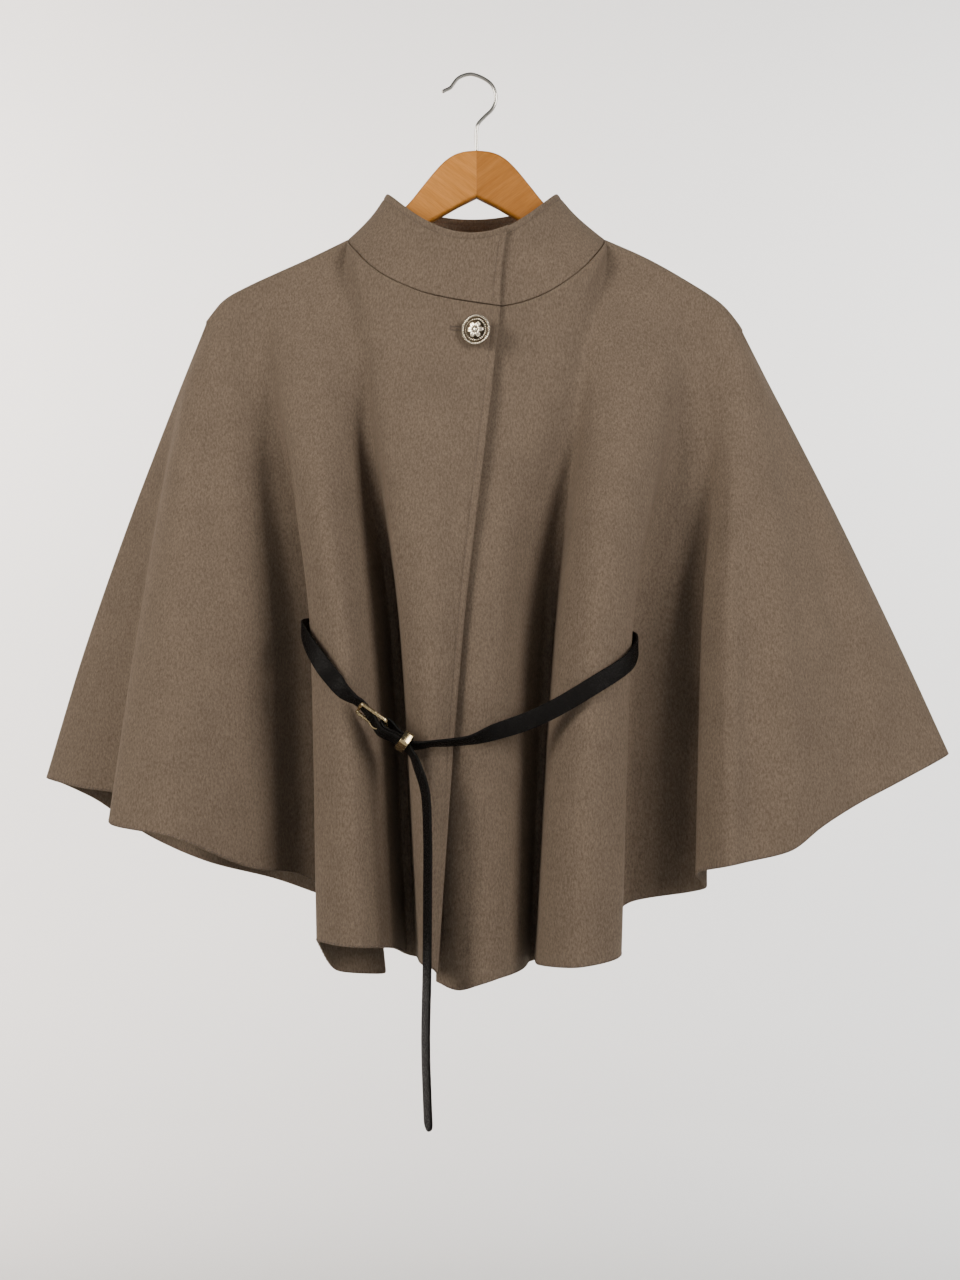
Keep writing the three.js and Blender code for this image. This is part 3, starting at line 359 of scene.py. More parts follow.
def add_node(material, kind, inputs, **settings):
    """One node; each input is a plain value, or (node, output) to link it from."""
    tree = material.node_tree
    made = tree.nodes.new("ShaderNode" + kind)
    for name, value in settings.items():
        setattr(made, name, value)
    for name, value in inputs.items():
        if isinstance(value, tuple) and isinstance(value[0], bpy.types.Node):
            tree.links.new(value[0].outputs[value[1]], made.inputs[name])
        else:
            made.inputs[name].default_value = value
    return made


def new_material(name):
    material = bpy.data.materials.new(name)
    material.use_nodes = True
    material.node_tree.nodes.clear()
    return material


# Double-faced wool coating, woven, milled and brushed: a matt taupe in which the fibres show as fine light
# and dark flecks, with a soft bloom of nap where it turns away from the eye. The fibres are 0.02 mm thick
# and are drawn as flecks of about 1.3 mm, drawn out down the cloth as the nap lies, so that they show.
WOOL_SHADES = {"deep": "#554A40", "light": "#746658", "bloom": "#B9A893"}
NAP_FLECK = 1.3
CLOUD_SIZE = 38
wool = new_material("wool_coating_milled_brushed")
wool_place = add_node(wool, "TexCoord", {})
wool_nap = add_node(wool, "Mapping", {"Vector": (wool_place, "Object"), "Scale": (1, 1, 0.45)})
wool_flecks = add_node(wool, "TexNoise", {
    "Vector": (wool_nap, "Vector"), "Scale": 1000 / NAP_FLECK, "Detail": 3.0, "Roughness": 0.65,
})
wool_clouds = add_node(wool, "TexNoise", {
    "Vector": (wool_place, "Object"), "Scale": 1000 / CLOUD_SIZE, "Detail": 3.0, "Roughness": 0.55,
})
wool_fleck_part = add_node(wool, "MapRange", {
    "Value": (wool_flecks, "Fac"), "From Min": 0.3, "From Max": 0.7,
})
wool_cloud_part = add_node(wool, "MapRange", {
    "Value": (wool_clouds, "Fac"), "From Min": 0.3, "From Max": 0.7, "To Min": 0.42, "To Max": 0.58,
})
wool_ground = add_node(wool, "Mix", {
    0: (wool_cloud_part, "Result"), 6: linear(WOOL_SHADES["deep"]), 7: linear(WOOL_SHADES["light"]),
}, data_type="RGBA")
wool_colour = add_node(wool, "Mix", {
    0: 0.34, 6: (wool_ground, 2), 7: (wool_fleck_part, "Result"),
}, data_type="RGBA", blend_type="SOFT_LIGHT")
wool_bump = add_node(wool, "Bump", {"Height": (wool_flecks, "Fac"), "Strength": 0.4, "Distance": 0.0006})
wool_shader = add_node(wool, "BsdfPrincipled", {
    "Base Color": (wool_colour, 2), "Normal": (wool_bump, "Normal"), "Roughness": 0.95,
    "Specular IOR Level": 0.2, "Sheen Weight": 0.15, "Sheen Roughness": 0.45,
    "Sheen Tint": linear(WOOL_SHADES["bloom"]),
})
add_node(wool, "OutputMaterial", {"Surface": (wool_shader, "BSDF")})

# The soft troughs and ridges in the hung cloth: the x and z at which each one starts and ends, its width,
# and how far it stands out, which is below nothing for a trough. Each bows aside by a part of its length.
CREASE_BOW = 0.06
CREASES = {
    "right front": [
        ((-74, -585), (-20, -600), 13, -2.6),
        ((-48, -608), (-42, -640), 3.5, -1.5),
        ((-60, -622), (-46, -700), 6, 1.0),
        ((-96, -250), (-72, -420), 11, -1.6),
        ((-125, -330), (-112, -505), 9, 1.4),
        ((-150, -540), (-92, -566), 12, -2.4),
        ((-8, -360), (-24, -520), 10, -1.2),
        ((-226, -330), (-216, -470), 12, -1.8),
        ((-262, -520), (-238, -640), 13, -1.8),
        ((-292, -430), (-300, -560), 10, 1.3),
        ((-180, -215), (-196, -330), 10, -1.2),
    ],
    "left front": [
        ((-10, -590), (40, -578), 13, -2.6),
        ((70, -560), (118, -540), 14, -2.6),
        ((88, -580), (66, -612), 6, -1.3),
        ((60, -260), (40, -430), 12, -1.5),
        ((118, -330), (96, -500), 10, 1.3),
        ((14, -640), (6, -760), 9, -1.1),
        ((216, -330), (226, -480), 11, -1.6),
        ((252, -480), (248, -610), 9, -1.5),
        ((288, -420), (318, -560), 12, 1.4),
        ((178, -220), (188, -330), 10, -1.2),
    ],
    "back": [
        ((-30, -210), (-44, -400), 13, -1.5),
        ((-92, -520), (-40, -500), 16, -2.2),
        ((30, -498), (96, -514), 16, -2.2),
        ((46, -260), (64, -440), 12, 1.3),
        ((-160, -300), (-176, -470), 12, -1.4),
        ((-70, -560), (-62, -700), 11, -1.3),
        ((176, -320), (200, -500), 12, -1.5),
        ((104, -560), (96, -690), 10, 1.1),
        ((-270, -430), (-290, -600), 12, -1.4),
        ((276, -420), (314, -580), 13, -1.4),
    ],
}


def creased(points, normals, half):
    """The cloth with its creases, each fading at its ends and kept to the side of the cloth that shows."""
    facing = normals[..., 1] * (1 if half == "back" else -1)
    shows = smoothstep(facing, 0.1, 0.5)
    offset = np.zeros(points.shape[:2])
    for start, end, width, rise in CREASES[half]:
        run = np.array(end, float) - start
        length = np.linalg.norm(run)
        away = points[..., [0, 2]] - start
        along = away @ run / length**2
        side = (away[..., 0] * run[1] - away[..., 1] * run[0]) / length
        bow = CREASE_BOW * length * np.sin(np.clip(along, 0, 1) * math.pi)
        fade = smoothstep(along, -0.15, 0.3) * (1 - smoothstep(along, 0.6, 1.15))
        offset += rise * fade * np.exp(-(((side - bow) / width) ** 2))
    return points + normals * (offset * shows)[..., None]


# How far in from an edge the wall is rounded, and how much and how widely topstitching pulls it together
EDGE_ROUND = 1.4
STITCH_PULL = {"part": 0.5, "reach": 0.85}


def edge_part(distance):
    """How thick the wall is at a distance from its edge, as a part of its whole: the edge is rounded."""
    return 0.5 + 0.5 * np.sqrt(1 - (1 - np.clip(distance / EDGE_ROUND, 0, 1)) ** 2)


def stitch_dip(distance):
    """How much a row of topstitching draws the wall together, as a part of its thickness."""
    return STITCH_PULL["part"] * np.exp(-(((distance - TOPSTITCH_AT) / STITCH_PULL["reach"]) ** 2))


def cloth_walls(points, normals, from_start, from_end, from_top, from_hem, stitched):
    """Both faces of a cloth piece, thinner at its edges and drawn in along its topstitching."""
    near = np.minimum(np.minimum(from_start, from_end), np.minimum(from_top, from_hem))
    dip = np.max([np.zeros_like(near), *[stitch_dip(distance) for distance in stitched]], axis=0)
    half_wall = WALL / 2 * edge_part(near) * (1 - dip)
    return points + normals * half_wall[..., None], points - normals * half_wall[..., None]


def distances_along(points, axis):
    """How far each point of a grid lies from both ends of its line."""
    steps = np.linalg.norm(np.diff(points, axis=axis), axis=-1)
    zero = np.zeros_like(np.take(steps, [0], axis=axis))
    along = np.concatenate([zero, np.cumsum(steps, axis=axis)], axis=axis)
    return along, np.take(along, [-1], axis=axis) - along


def turned_to_seam(normals, seam_way, levels):
    """The way that the wall ends at a seam, blended into its normals over the first levels beside it."""
    for level in range(levels):
        part = level / levels
        normals[:, level] = unit(normals[:, level] * part + seam_way * (1 - part))


# How many times the folds are softened: all over at first, then near the shoulders, where they only begin
SETTLING = {"all_over": 3, "turns": 50}


def panel(half, first, last):
    """One panel's grid: its middle points, its normals, both its faces, and which cells are open."""
    places = columns_between(first, last, half)
    points = cloth_points(places, CLOTH_LEVELS, half)
    fall = np.array(CLOTH_LEVELS)[:, 1]
    low = smoothstep(fall, 0.0, 0.08)
    high = smoothstep(fall, 0.0, 0.05) * (1 - smoothstep(fall, 0.12, 0.4))
    for turn in range(SETTLING["turns"]):
        settled = points.copy()
        settled[1:-1] = (points[:-2] + 2 * points[1:-1] + points[2:]) / 4
        points += (settled - points) * (low if turn < SETTLING["all_over"] else high)[None, :, None]
    points[:, 0] += SEAM_GAP * unit(points[:, 2] - points[:, 0])
    points = creased(points, normals_of(points), half)
    open_cells = np.zeros((len(places) - 1, len(fall) - 1), bool)
    if half in BELT_SLITS:
        fold, sides = BELT_SLITS[half]
        left, right = (FOLD_NAMES.index(fold) + side for side in sides)
        in_width = (places[:-1] >= left - 1e-5) & (places[1:] <= right + 1e-5)
        in_fall = (fall[:-1] >= SLIT_FALL[0]) & (fall[1:] <= SLIT_FALL[1])
        open_cells = in_width[:, None] & in_fall[None, :]
    start_marks = TOPSTITCHED if half == "right front" else PLAIN_EDGE
    end_marks = TOPSTITCHED if half == "left front" else PLAIN_EDGE
    for marks in (start_marks, end_marks):
        trim = 0 if marks is TOPSTITCHED else 0.8 * SEAM_GAP
        points = respaced(points, [trim + mark for mark in marks], 2.2 * marks[-1])[::-1]
        open_cells = np.concatenate([np.zeros((len(marks), open_cells.shape[1]), bool), open_cells])[::-1]
    points = respaced(points.transpose(1, 0, 2)[::-1], PLAIN_EDGE, 8)[::-1].transpose(1, 0, 2)
    open_cells = np.concatenate([open_cells, np.zeros((len(open_cells), len(PLAIN_EDGE)), bool)], axis=1)
    normals = normals_of(points)
    turned_to_seam(normals, seam_direction(points[:, 0, 0], half), 4)
    from_start, from_end = distances_along(points, 0)
    from_top, from_hem = distances_along(points, 1)
    stitched = [from_start] if half == "right front" else [from_end] if half == "left front" else []
    outer, inner = cloth_walls(points, normals, from_start, from_end, from_top, from_hem, stitched)
    return {"points": points, "normals": normals, "outer": outer, "inner": inner, "open": open_cells}


# Each panel: its half, its first and last fold, the cloth it is cut from in metres, and what it rests on
ARMS = ["hanger_arm_right_wood", "hanger_arm_left_wood"]
PANELS = {
    "front_right": ("right front", 0, RIGHT_SEAM_AT, (0.90, 0.66), [ARMS[0], "back"]),
    "back": ("back", RIGHT_SEAM_AT, LEFT_SEAM_AT, (0.92, 0.62), ARMS),
    "front_left": ("left front", LEFT_SEAM_AT, FRONT_END_AT, (1.1, 0.66), [ARMS[1], "back"]),
}
panels = {}
for panel_name, (half, first, last, cut, _) in PANELS.items():
    grid = panel(half, first, last)
    panels[panel_name] = grid
    corners, faces = wall_mesh(grid["outer"], grid["inner"], grid["open"])
    piece = new_piece("cape_" + panel_name, corners, faces, wool, "wool", [panel_name])

# The funnel collar
# Cut in one piece of the same wool, standing on the neck seam. Its right end laps over the left front, and
# its top edge and ends are topstitched 6 mm in.
COLLAR = {"middle_x": -4, "half_width": 76, "front_y": -60, "back_y": 45}
COLLAR_TOP = {"side_z": -108, "front_drop": 47.5, "back_drop": 10}
COLLAR_HOLLOW = 3
COLLAR_END_LEAN = 1.14
COLLAR_RISES = 18
# Round the neck: the half, the x of its first and last column on the neck seam, and how many columns it has
COLLAR_COLUMNS = [("right front", 20.4, -115, 74), ("back", -115, 115, 104), ("left front", 115, -22, 76)]
# How far back the collar's foot turns from the fronts to the back
COLLAR_SIDES_Y = -8


def collar_points(half, first_x, last_x, count):
    """The collar's middle surface on one half, from its rim down to the neck seam."""
    first, last = (math.acos(-x / NECK["half_width"]) for x in (first_x, last_x))
    around = np.linspace(first, last, count)
    x = -NECK["half_width"] * np.cos(around)
    foot = neck_seam(x, half)
    turn = around * COLLAR_END_LEAN if half == "right front" else around
    side = "back" if half == "back" else "front"
    rim_x = COLLAR["middle_x"] - COLLAR["half_width"] * np.cos(turn)
    rim_y = COLLAR[side + "_y"] * np.sin(turn) + underlap(x, half)
    rim_z = COLLAR_TOP["side_z"] - COLLAR_TOP[side + "_drop"] * np.sin(turn) ** 2
    rim = np.stack([rim_x, rim_y, rim_z], -1)
    rises = np.linspace(1, 0, COLLAR_RISES)
    inward = np.stack([np.cos(turn), np.sin(turn) * (-1 if half == "back" else 1), np.zeros_like(turn)], -1)
    straight = foot[:, None] + (rim - foot)[:, None] * rises[None, :, None]
    hollow = COLLAR_HOLLOW * np.sin(rises * math.pi)
    return straight + inward[:, None] * hollow[None, :, None]


collar_right, collar_back, collar_left = (collar_points(*row) for row in COLLAR_COLUMNS)
collar_line = np.concatenate([collar_right, collar_back[1:-1], collar_left])
collar_line[:, -1] += 1.5 * SEAM_GAP * unit(collar_line[:, -2] - collar_line[:, -1])
for _ in range(2):
    collar_line = respaced(collar_line, TOPSTITCHED, 2.2 * TOPSTITCHED[-1])[::-1]
collar_line = respaced(collar_line.transpose(1, 0, 2), TOPSTITCHED, 14)
collar_line = respaced(collar_line[::-1], PLAIN_EDGE, 6)[::-1].transpose(1, 0, 2)
collar_normals = normals_of(collar_line)
foot_x, behind = collar_line[:, -1, 0], collar_line[:, -1, 1] > COLLAR_SIDES_Y
foot_seam = np.where(behind[:, None], seam_direction(foot_x, "back"), seam_direction(foot_x, "right front"))
turned_to_seam(collar_normals[:, ::-1], foot_seam, 3)
collar_start, collar_end = distances_along(collar_line, 0)
collar_rim, collar_foot = distances_along(collar_line, 1)
collar_edges = (collar_start, collar_end, collar_rim, collar_foot)
collar_outer, collar_inner = cloth_walls(collar_line, collar_normals, *collar_edges, collar_edges[:3])
no_openings = np.zeros((len(collar_line) - 1, collar_line.shape[1] - 1), bool)
collar_corners, collar_faces = wall_mesh(collar_outer, collar_inner, no_openings)
collar = new_piece("cape_collar", collar_corners, collar_faces, wool, "wool", ["collar"])

# Stitches
# Taupe polyester thread. The topstitching is a row of machine stitches 3 mm long on both faces, sunk in the
# wool; the hems and the ends of both layers are closed by small slanted hand stitches 4 mm apart.
# Each kind of stitch: how far apart they are, their length, their radius and their slant in degrees
STITCHES = {"topstitching": (3.0, 2.3, 0.32, 0), "hem_stitches": (4.0, 2.6, 0.42, 35)}
STITCH_SIDES = 5
STITCH_RINGS = ((-0.5, 0.3), (-0.3, 0.9), (0.0, 1.0), (0.3, 0.9), (0.5, 0.3))


def stitch_beads(line, outward, pitch, length, radius, slant):
    """Small rounded thread stitches along a line that lies on the cloth."""
    slant = math.radians(slant)
    steps = np.linalg.norm(np.diff(line, axis=0), axis=-1)
    along = np.concatenate([[0], np.cumsum(steps)])
    centres = np.arange(pitch, along[-1] - pitch, pitch)
    corners, faces = [], []
    for centre in centres:
        ends = [centre - length / 2, centre, centre + length / 2]
        places = np.array([[np.interp(end, along, line[:, axis]) for axis in range(3)] for end in ends])
        up = unit(np.array([np.interp(centre, along, outward[:, axis]) for axis in range(3)]))
        way = unit(places[2] - places[0])
        side = np.cross(up, way)
        way = way * math.cos(slant) + side * math.sin(slant)
        side = np.cross(up, way)
        start = len(corners)
        for part, size in STITCH_RINGS:
            for k in range(STITCH_SIDES):
                angle = 2 * math.pi * k / STITCH_SIDES
                round_way = side * math.cos(angle) + up * math.sin(angle) * 0.8
                corners.append(places[1] + way * part * length + round_way * size * radius)
        for ring in range(len(STITCH_RINGS) - 1):
            for k in range(STITCH_SIDES):
                a = start + ring * STITCH_SIDES + k
                b = start + ring * STITCH_SIDES + (k + 1) % STITCH_SIDES
                faces.append((a, b, b + STITCH_SIDES, a + STITCH_SIDES))
        faces.append(tuple(start + k for k in reversed(range(STITCH_SIDES))))
        last = start + (len(STITCH_RINGS) - 1) * STITCH_SIDES
        faces.append(tuple(last + k for k in range(STITCH_SIDES)))
    return corners, faces


def joined_beads(rows, pitch, length, radius, slant):
    corners, faces = [], []
    for line, outward in rows:
        more, made = stitch_beads(line, outward, pitch, length, radius, slant)
        faces += [tuple(corner + len(corners) for corner in face) for face in made]
        corners += more
    return corners, faces


# Spun polyester sewing thread, twisted: smoother than the wool, with a faint gleam. It is coloured darker
# than the wool as painted shade, for the shade down in the groove that the stitches sit in.
thread = new_material("polyester_thread_spun_painted_shade")
thread_place = add_node(thread, "TexCoord", {})
thread_twist = add_node(thread, "TexNoise", {
    "Vector": (thread_place, "Object"), "Scale": 1600.0, "Detail": 1.0,
})
# Two dark thread colours, darker than the wool as painted groove shade.
thread_colour_painted_shade = add_node(thread, "Mix", {
    0: (thread_twist, "Fac"), 6: linear("#3A3028"), 7: linear("#5A4B3E"),
}, data_type="RGBA")
thread_shader = add_node(thread, "BsdfPrincipled", {
    "Base Color": (thread_colour_painted_shade, 2), "Roughness": 0.7, "Sheen Weight": 0.1,
})
add_node(thread, "OutputMaterial", {"Surface": (thread_shader, "BSDF")})

stitch_column = TOPSTITCHED.index(TOPSTITCH_AT)
right_panel, left_panel = panels["front_right"], panels["front_left"]
topstitch_rows = []
for grid, column in ((right_panel, stitch_column), (left_panel, -1 - stitch_column)):
    topstitch_rows.append((grid["outer"][column, 6:-3], grid["normals"][column, 6:-3]))
    topstitch_rows.append((grid["inner"][column, 6:-3], -grid["normals"][column, 6:-3]))
for face, sign in ((collar_outer, 1), (collar_inner, -1)):
    along_rim = slice(stitch_column, -stitch_column)
    down_end = slice(stitch_column, -2)
    topstitch_rows.append((face[along_rim, stitch_column], sign * collar_normals[along_rim, stitch_column]))
    for column in (stitch_column, -1 - stitch_column):
        topstitch_rows.append((face[column, down_end], sign * collar_normals[column, down_end]))
new_piece("topstitching", *joined_beads(topstitch_rows, *STITCHES["topstitching"]), thread, "wool", [])

hem_rows = []
hem_level = -1 - PLAIN_EDGE.index(HAND_STITCH_AT)
for grid in panels.values():
    hem_rows.append((grid["outer"][2:-2, hem_level], grid["normals"][2:-2, hem_level]))
new_piece("hem_stitches", *joined_beads(hem_rows, *STITCHES["hem_stitches"]), thread, "wool", [])

# The button
# A cast, domed metal button 26 mm across, turned out a little from the cloth on its shank: a rope rim, a
# narrow channel, and a plain six-petal rosette on the dome.
BUTTON = {"radius": 13, "channel": 10.2, "dome": 1.7, "thick": 2.2, "shank_radius": 2.6, "shank_length": 5.6}
BUTTON_TURN = math.radians(20)
BUTTON_GRID = {"dome_rings": 34, "rim_rings": 14, "sides": 264}
BUTTON_PLACE = {"at": 0.42, "fall": 0.036}
ROPE_STRANDS = 44
PETALS = 6
BEADS = 30


def cloth_and_normal(at, fall, half):
    """One point of the cloth's middle surface, and the way it faces there."""
    step = 0.02
    levels = [(1, fall - step), (1, fall), (1, fall + step)]
    patch = cloth_points(np.array([at - step, at, at + step]), levels, half)
    return patch[1, 1], unit(np.cross(patch[2, 1] - patch[0, 1], patch[1, 2] - patch[1, 0]))


def button_relief(radius, angle):
    """The button's face at a radius and an angle: its height, and how far its ornament stands out of it."""
    size = BUTTON["radius"]
    rope_middle = (size + BUTTON["channel"]) / 2 + 0.35
    rope_half = (size - BUTTON["channel"]) / 2 - 0.2
    across = (radius - rope_middle) / rope_half
    strand = 0.5 + 0.5 * np.cos(ROPE_STRANDS * angle + 2.6 * across)
    rope = np.sqrt(np.clip(1 - across**2, 0, 1)) * (0.6 + 0.8 * strand)
    # The rosette, in parts of the dome's radius: a heart to 0.2, petals from 0.22, beads from 0.82 to 0.96
    part = np.clip(radius / BUTTON["channel"], 0, 1)
    dome = BUTTON["dome"] * (1 - part**2.4)
    petal_end = 0.34 + 0.42 * np.abs(np.cos(PETALS * angle / 2)) ** 0.6
    petal = smoothstep(petal_end - part, 0.0, 0.12) * smoothstep(part, 0.22, 0.34)
    vein = 0.6 * np.exp(-((np.sin(PETALS * angle / 2) * part / 0.08) ** 2))
    heart = np.sqrt(np.clip(1 - (part / 0.2) ** 2, 0, 1))
    beads = smoothstep(part, 0.82, 0.86) * (1 - smoothstep(part, 0.92, 0.96))
    dots = beads * (0.5 + 0.5 * np.cos(BEADS * angle))
    raised = petal * (1 - vein) + heart + dots
    on_dome = radius < BUTTON["channel"]
    return np.where(on_dome, dome + 0.1 + 0.9 * raised, rope), np.where(on_dome, raised, rope * strand)


dome_rings = np.linspace(0.25, BUTTON["channel"], BUTTON_GRID["dome_rings"])
rim_rings = np.linspace(BUTTON["channel"] - 0.4, BUTTON["radius"], BUTTON_GRID["rim_rings"])
button_angles = np.linspace(0, 2 * math.pi, BUTTON_GRID["sides"], endpoint=False)
ring_grid, angle_grid = np.meshgrid(np.concatenate([dome_rings, rim_rings]), button_angles, indexing="ij")
face_relief, raised = button_relief(ring_grid, angle_grid)
face_height = BUTTON["shank_length"] + BUTTON["thick"] * 0.6 + face_relief
rings = [np.stack([ring_grid * np.cos(angle_grid), -face_height, ring_grid * np.sin(angle_grid)], -1)]
# The button's back and shank, as the radius and the height of each ring
back_profile = [(13, 7.2), (13, 6.5), (12.6, 5.9), (11, 5.6), (3.2, 5.6), (2.6, 5.2), (2.6, 0.4), (2.2, 0)]
once_round = np.stack([np.cos(button_angles), np.zeros_like(button_angles), np.sin(button_angles)], -1)
rings += [(once_round * radius - np.array([0, height, 0]))[None] for radius, height in back_profile]
button_grid = np.concatenate(rings)


def tube_faces(rings_count, sides, closed_ends=True):
    """Faces of a tube of rings, each with the same number of corners, with its two ends closed."""
    faces = []
    for ring in range(rings_count - 1):
        for k in range(sides):
            a, b = ring * sides + k, ring * sides + (k + 1) % sides
            faces.append((a, a + sides, b + sides, b))
    if closed_ends:
        faces.append(tuple(range(sides)))
        faces.append(tuple(reversed(range((rings_count - 1) * sides, rings_count * sides))))
    return faces


button_seat, button_normal = cloth_and_normal(BUTTON_PLACE["at"], BUTTON_PLACE["fall"], "right front")
button_lift = WALL / 2 + 2 * SEAM_GAP + BUTTON["shank_radius"] * math.sin(BUTTON_TURN)
turn_cos, turn_sin = math.cos(-BUTTON_TURN), math.sin(-BUTTON_TURN)
button_turn = np.array([[turn_cos, -turn_sin, 0], [turn_sin, turn_cos, 0], [0, 0, 1]])
button_corners = button_grid.reshape(-1, 3) @ button_turn.T + button_seat + button_normal * button_lift

# Cast zinc alloy, plated a pale silver gold and toned: bright on the high places, with dark oxide left down
# in the relief. The relief height is kept on the corners, and the shader reads it.
button_metal = new_material("cast_zinc_plated_toned")
button_height = add_node(button_metal, "Attribute", {}, attribute_name="relief")
button_place = add_node(button_metal, "TexCoord", {})
button_grit = add_node(button_metal, "TexNoise", {
    "Vector": (button_place, "Object"), "Scale": 900.0, "Detail": 3.0,
})
button_toning = add_node(button_metal, "MapRange", {
    "Value": (button_height, "Fac"), "From Min": 0.05, "From Max": 0.6,
})
button_colour = add_node(button_metal, "Mix", {
    0: (button_toning, "Result"), 6: linear("#40372B"), 7: linear("#EFE6D3"),
}, data_type="RGBA")
button_bump = add_node(button_metal, "Bump", {
    "Height": (button_grit, "Fac"), "Strength": 0.2, "Distance": 0.0001,
})
button_shader = add_node(button_metal, "BsdfPrincipled", {
    "Base Color": (button_colour, 2), "Metallic": 1.0, "Roughness": 0.26,
    "Normal": (button_bump, "Normal"),
})
add_node(button_metal, "OutputMaterial", {"Surface": (button_shader, "BSDF")})

button_faces = tube_faces(len(button_grid), len(button_angles))
button = new_piece("button_cast", button_corners, button_faces, button_metal, "button_metal", ["button"])
# The back has no relief: it is as bright as the high places.
BACK_TONING = 0.7
relief_values = np.concatenate([raised.ravel(), np.full(len(button_corners) - raised.size, BACK_TONING)])
relief_kept = button.data.attributes.new("relief", "FLOAT", "POINT")
relief_kept.data.foreach_set("value", relief_values.astype(np.float32))

# The buttonhole
# A hand-worked keyhole buttonhole 30 mm long across the right front, under and to the wearer's right of the
# button: two rows of purl stitches round the slit, closed by an upright bar of thread.
BUTTONHOLE = {"from_button": -23, "to_button": 5, "above": 1.5, "row_apart": 1.5, "pitch": 0.9}
BUTTONHOLE_SLOPE = math.tan(math.radians(-4))
# The length and radius of the purl stitches and of the bar across the slit's end, which stands past it
PURL_STITCH = (1.7, 0.36)
END_BAR = (6.5, 0.55)
END_BAR_PAST = 0.8
# The part of the right front's grid in which the buttonhole lies
NEAR_BUTTON = (slice(90), slice(60))


def surface_near(x, z):
    """The outer face of the right front at an x and a height near the button, with the way it faces."""
    outer = right_panel["outer"][NEAR_BUTTON]
    flat = (outer[..., 0] - x) ** 2 + (outer[..., 2] - z) ** 2
    nearest = np.unravel_index(np.argmin(flat), flat.shape)
    normal = right_panel["normals"][nearest]
    near_x, near_y, near_z = outer[nearest]
    y = near_y - ((x - near_x) * normal[0] + (z - near_z) * normal[2]) / normal[1]
    return np.array([x, y, z]), normal


def add_bar(step, rise, size):
    """One upright thread bar on the cloth, so far along from the button and above the buttonhole's line."""
    length, radius = size
    z = button_seat[2] + BUTTONHOLE["above"] + rise + step * BUTTONHOLE_SLOPE
    centre, up = surface_near(button_seat[0] + step, z)
    way = np.array([0.0, 0.0, 1.0])
    line = np.array([centre - way * length, centre, centre + way * length * 1.01])
    more, made = stitch_beads(line, np.array([up, up, up]), length, length, radius, 0)
    start = len(purl_corners)
    purl_corners.extend(more)
    purl_faces.extend(tuple(corner + start for corner in face) for face in made)


purl_corners, purl_faces = [], []
for step in np.arange(BUTTONHOLE["from_button"], BUTTONHOLE["to_button"], BUTTONHOLE["pitch"]):
    for row in (-1, 1):
        add_bar(step, row * BUTTONHOLE["row_apart"], PURL_STITCH)
add_bar(BUTTONHOLE["from_button"] - END_BAR_PAST, END_BAR_PAST * BUTTONHOLE_SLOPE, END_BAR)
new_piece("buttonhole_stitches", purl_corners, purl_faces, thread, "wool", [])

# The hanger
# Two arms of solid beech, bent, planed and sanded to a rounded section, mitred together in the middle and
# varnished. They sweep forward a little to their rounded tips.
# One arm from the mitre outwards: how far out, and the heights of its top and its under edge there
HANGER_OUTLINE = [
    (0, -68, -110), (9, -68.7, -114.5), (18, -71, -119), (26, -75.6, -123.6), (33, -82, -127.6),
    (40, -90, -131.6), (47, -98.7, -135.6), (61, -116, -143), (80, -134.5, -155), (100, -147.5, -167),
    (115, -155, -174.5),
]
ARM = {"thickness": 13, "clearance": 1, "height": 19.5, "tip_radius": 9, "corner": 3.6, "step": 2.5}
MITRE = {"gap": 0.02, "edge": 0.1}
TIP_ANGLES = np.radians([12, 24, 36, 48, 60, 70, 78])
CORNER_STEPS = 5


def ring_path(length, width, corner, steps):
    """The outline of a rectangle with rounded corners, once round."""
    path = []
    for quarter, (sx, sz) in enumerate([(1, 1), (-1, 1), (-1, -1), (1, -1)]):
        for k in range(steps + 1):
            angle = math.radians(90 * quarter + 90 * k / steps)
            x = sx * (length / 2 - corner) + corner * math.cos(angle)
            path.append((x, sz * (width / 2 - corner) + corner * math.sin(angle)))
    return np.array(path)


def arm_section(out, side, scale):
    """The arm's rounded section at a distance from the mitre; scale shrinks it towards the tip."""
    if out <= HANGER_OUTLINE[-1][0]:
        top = table_at([(o, t) for o, t, _ in HANGER_OUTLINE], out)[0]
        under = table_at([(o, u) for o, _, u in HANGER_OUTLINE], out)[0]
    else:
        top = float(shoulder_z(np.array([side * out]))[0]) - WALL / 2 - ARM["clearance"]
        under = top - ARM["height"]
    middle = (top + under) / 2
    half_height = (top - under) / 2 * scale
    half_width = ARM["thickness"] / 2 * (0.6 + 0.4 * scale)
    corner = min(ARM["corner"], half_height * 0.7, half_width * 0.7)
    path = ring_path(2 * half_width, 2 * half_height, corner, CORNER_STEPS)
    return [(side * out, float(hanger_y(np.array(out))) + y, middle + z) for y, z in path]


def hanger_arm(side):
    tip_start = HANGER_SWEEP["reach"] - ARM["tip_radius"]
    mitre = MITRE["gap"] / 2
    outs = [mitre, mitre + MITRE["edge"], *np.arange(2, tip_start, ARM["step"]), tip_start]
    sections = [arm_section(out, side, 1) for out in outs]
    for angle in TIP_ANGLES:
        sections.append(arm_section(tip_start + ARM["tip_radius"] * math.sin(angle), side, math.cos(angle)))
    corners = np.array(sections).reshape(-1, 3)
    faces = tube_faces(len(sections), len(sections[0]))
    return corners, faces if side < 0 else [tuple(reversed(face)) for face in faces]


# Beech, sanded and clear varnished: an even honey orange with fine darker pores and faint growth lines along
# the arm, 2 to 4 mm apart, under a soft satin gloss. Both arms are the same wood: the left arm's colours are
# darker as painted shade and the right arm's lighter as painted light, for how the light falls on the two
# halves.
WOOD_COLOURS_LIT_AND_SHADED = {"right": ("#BC7A30", "#CE8B40"), "left": ("#A1651F", "#B47632")}


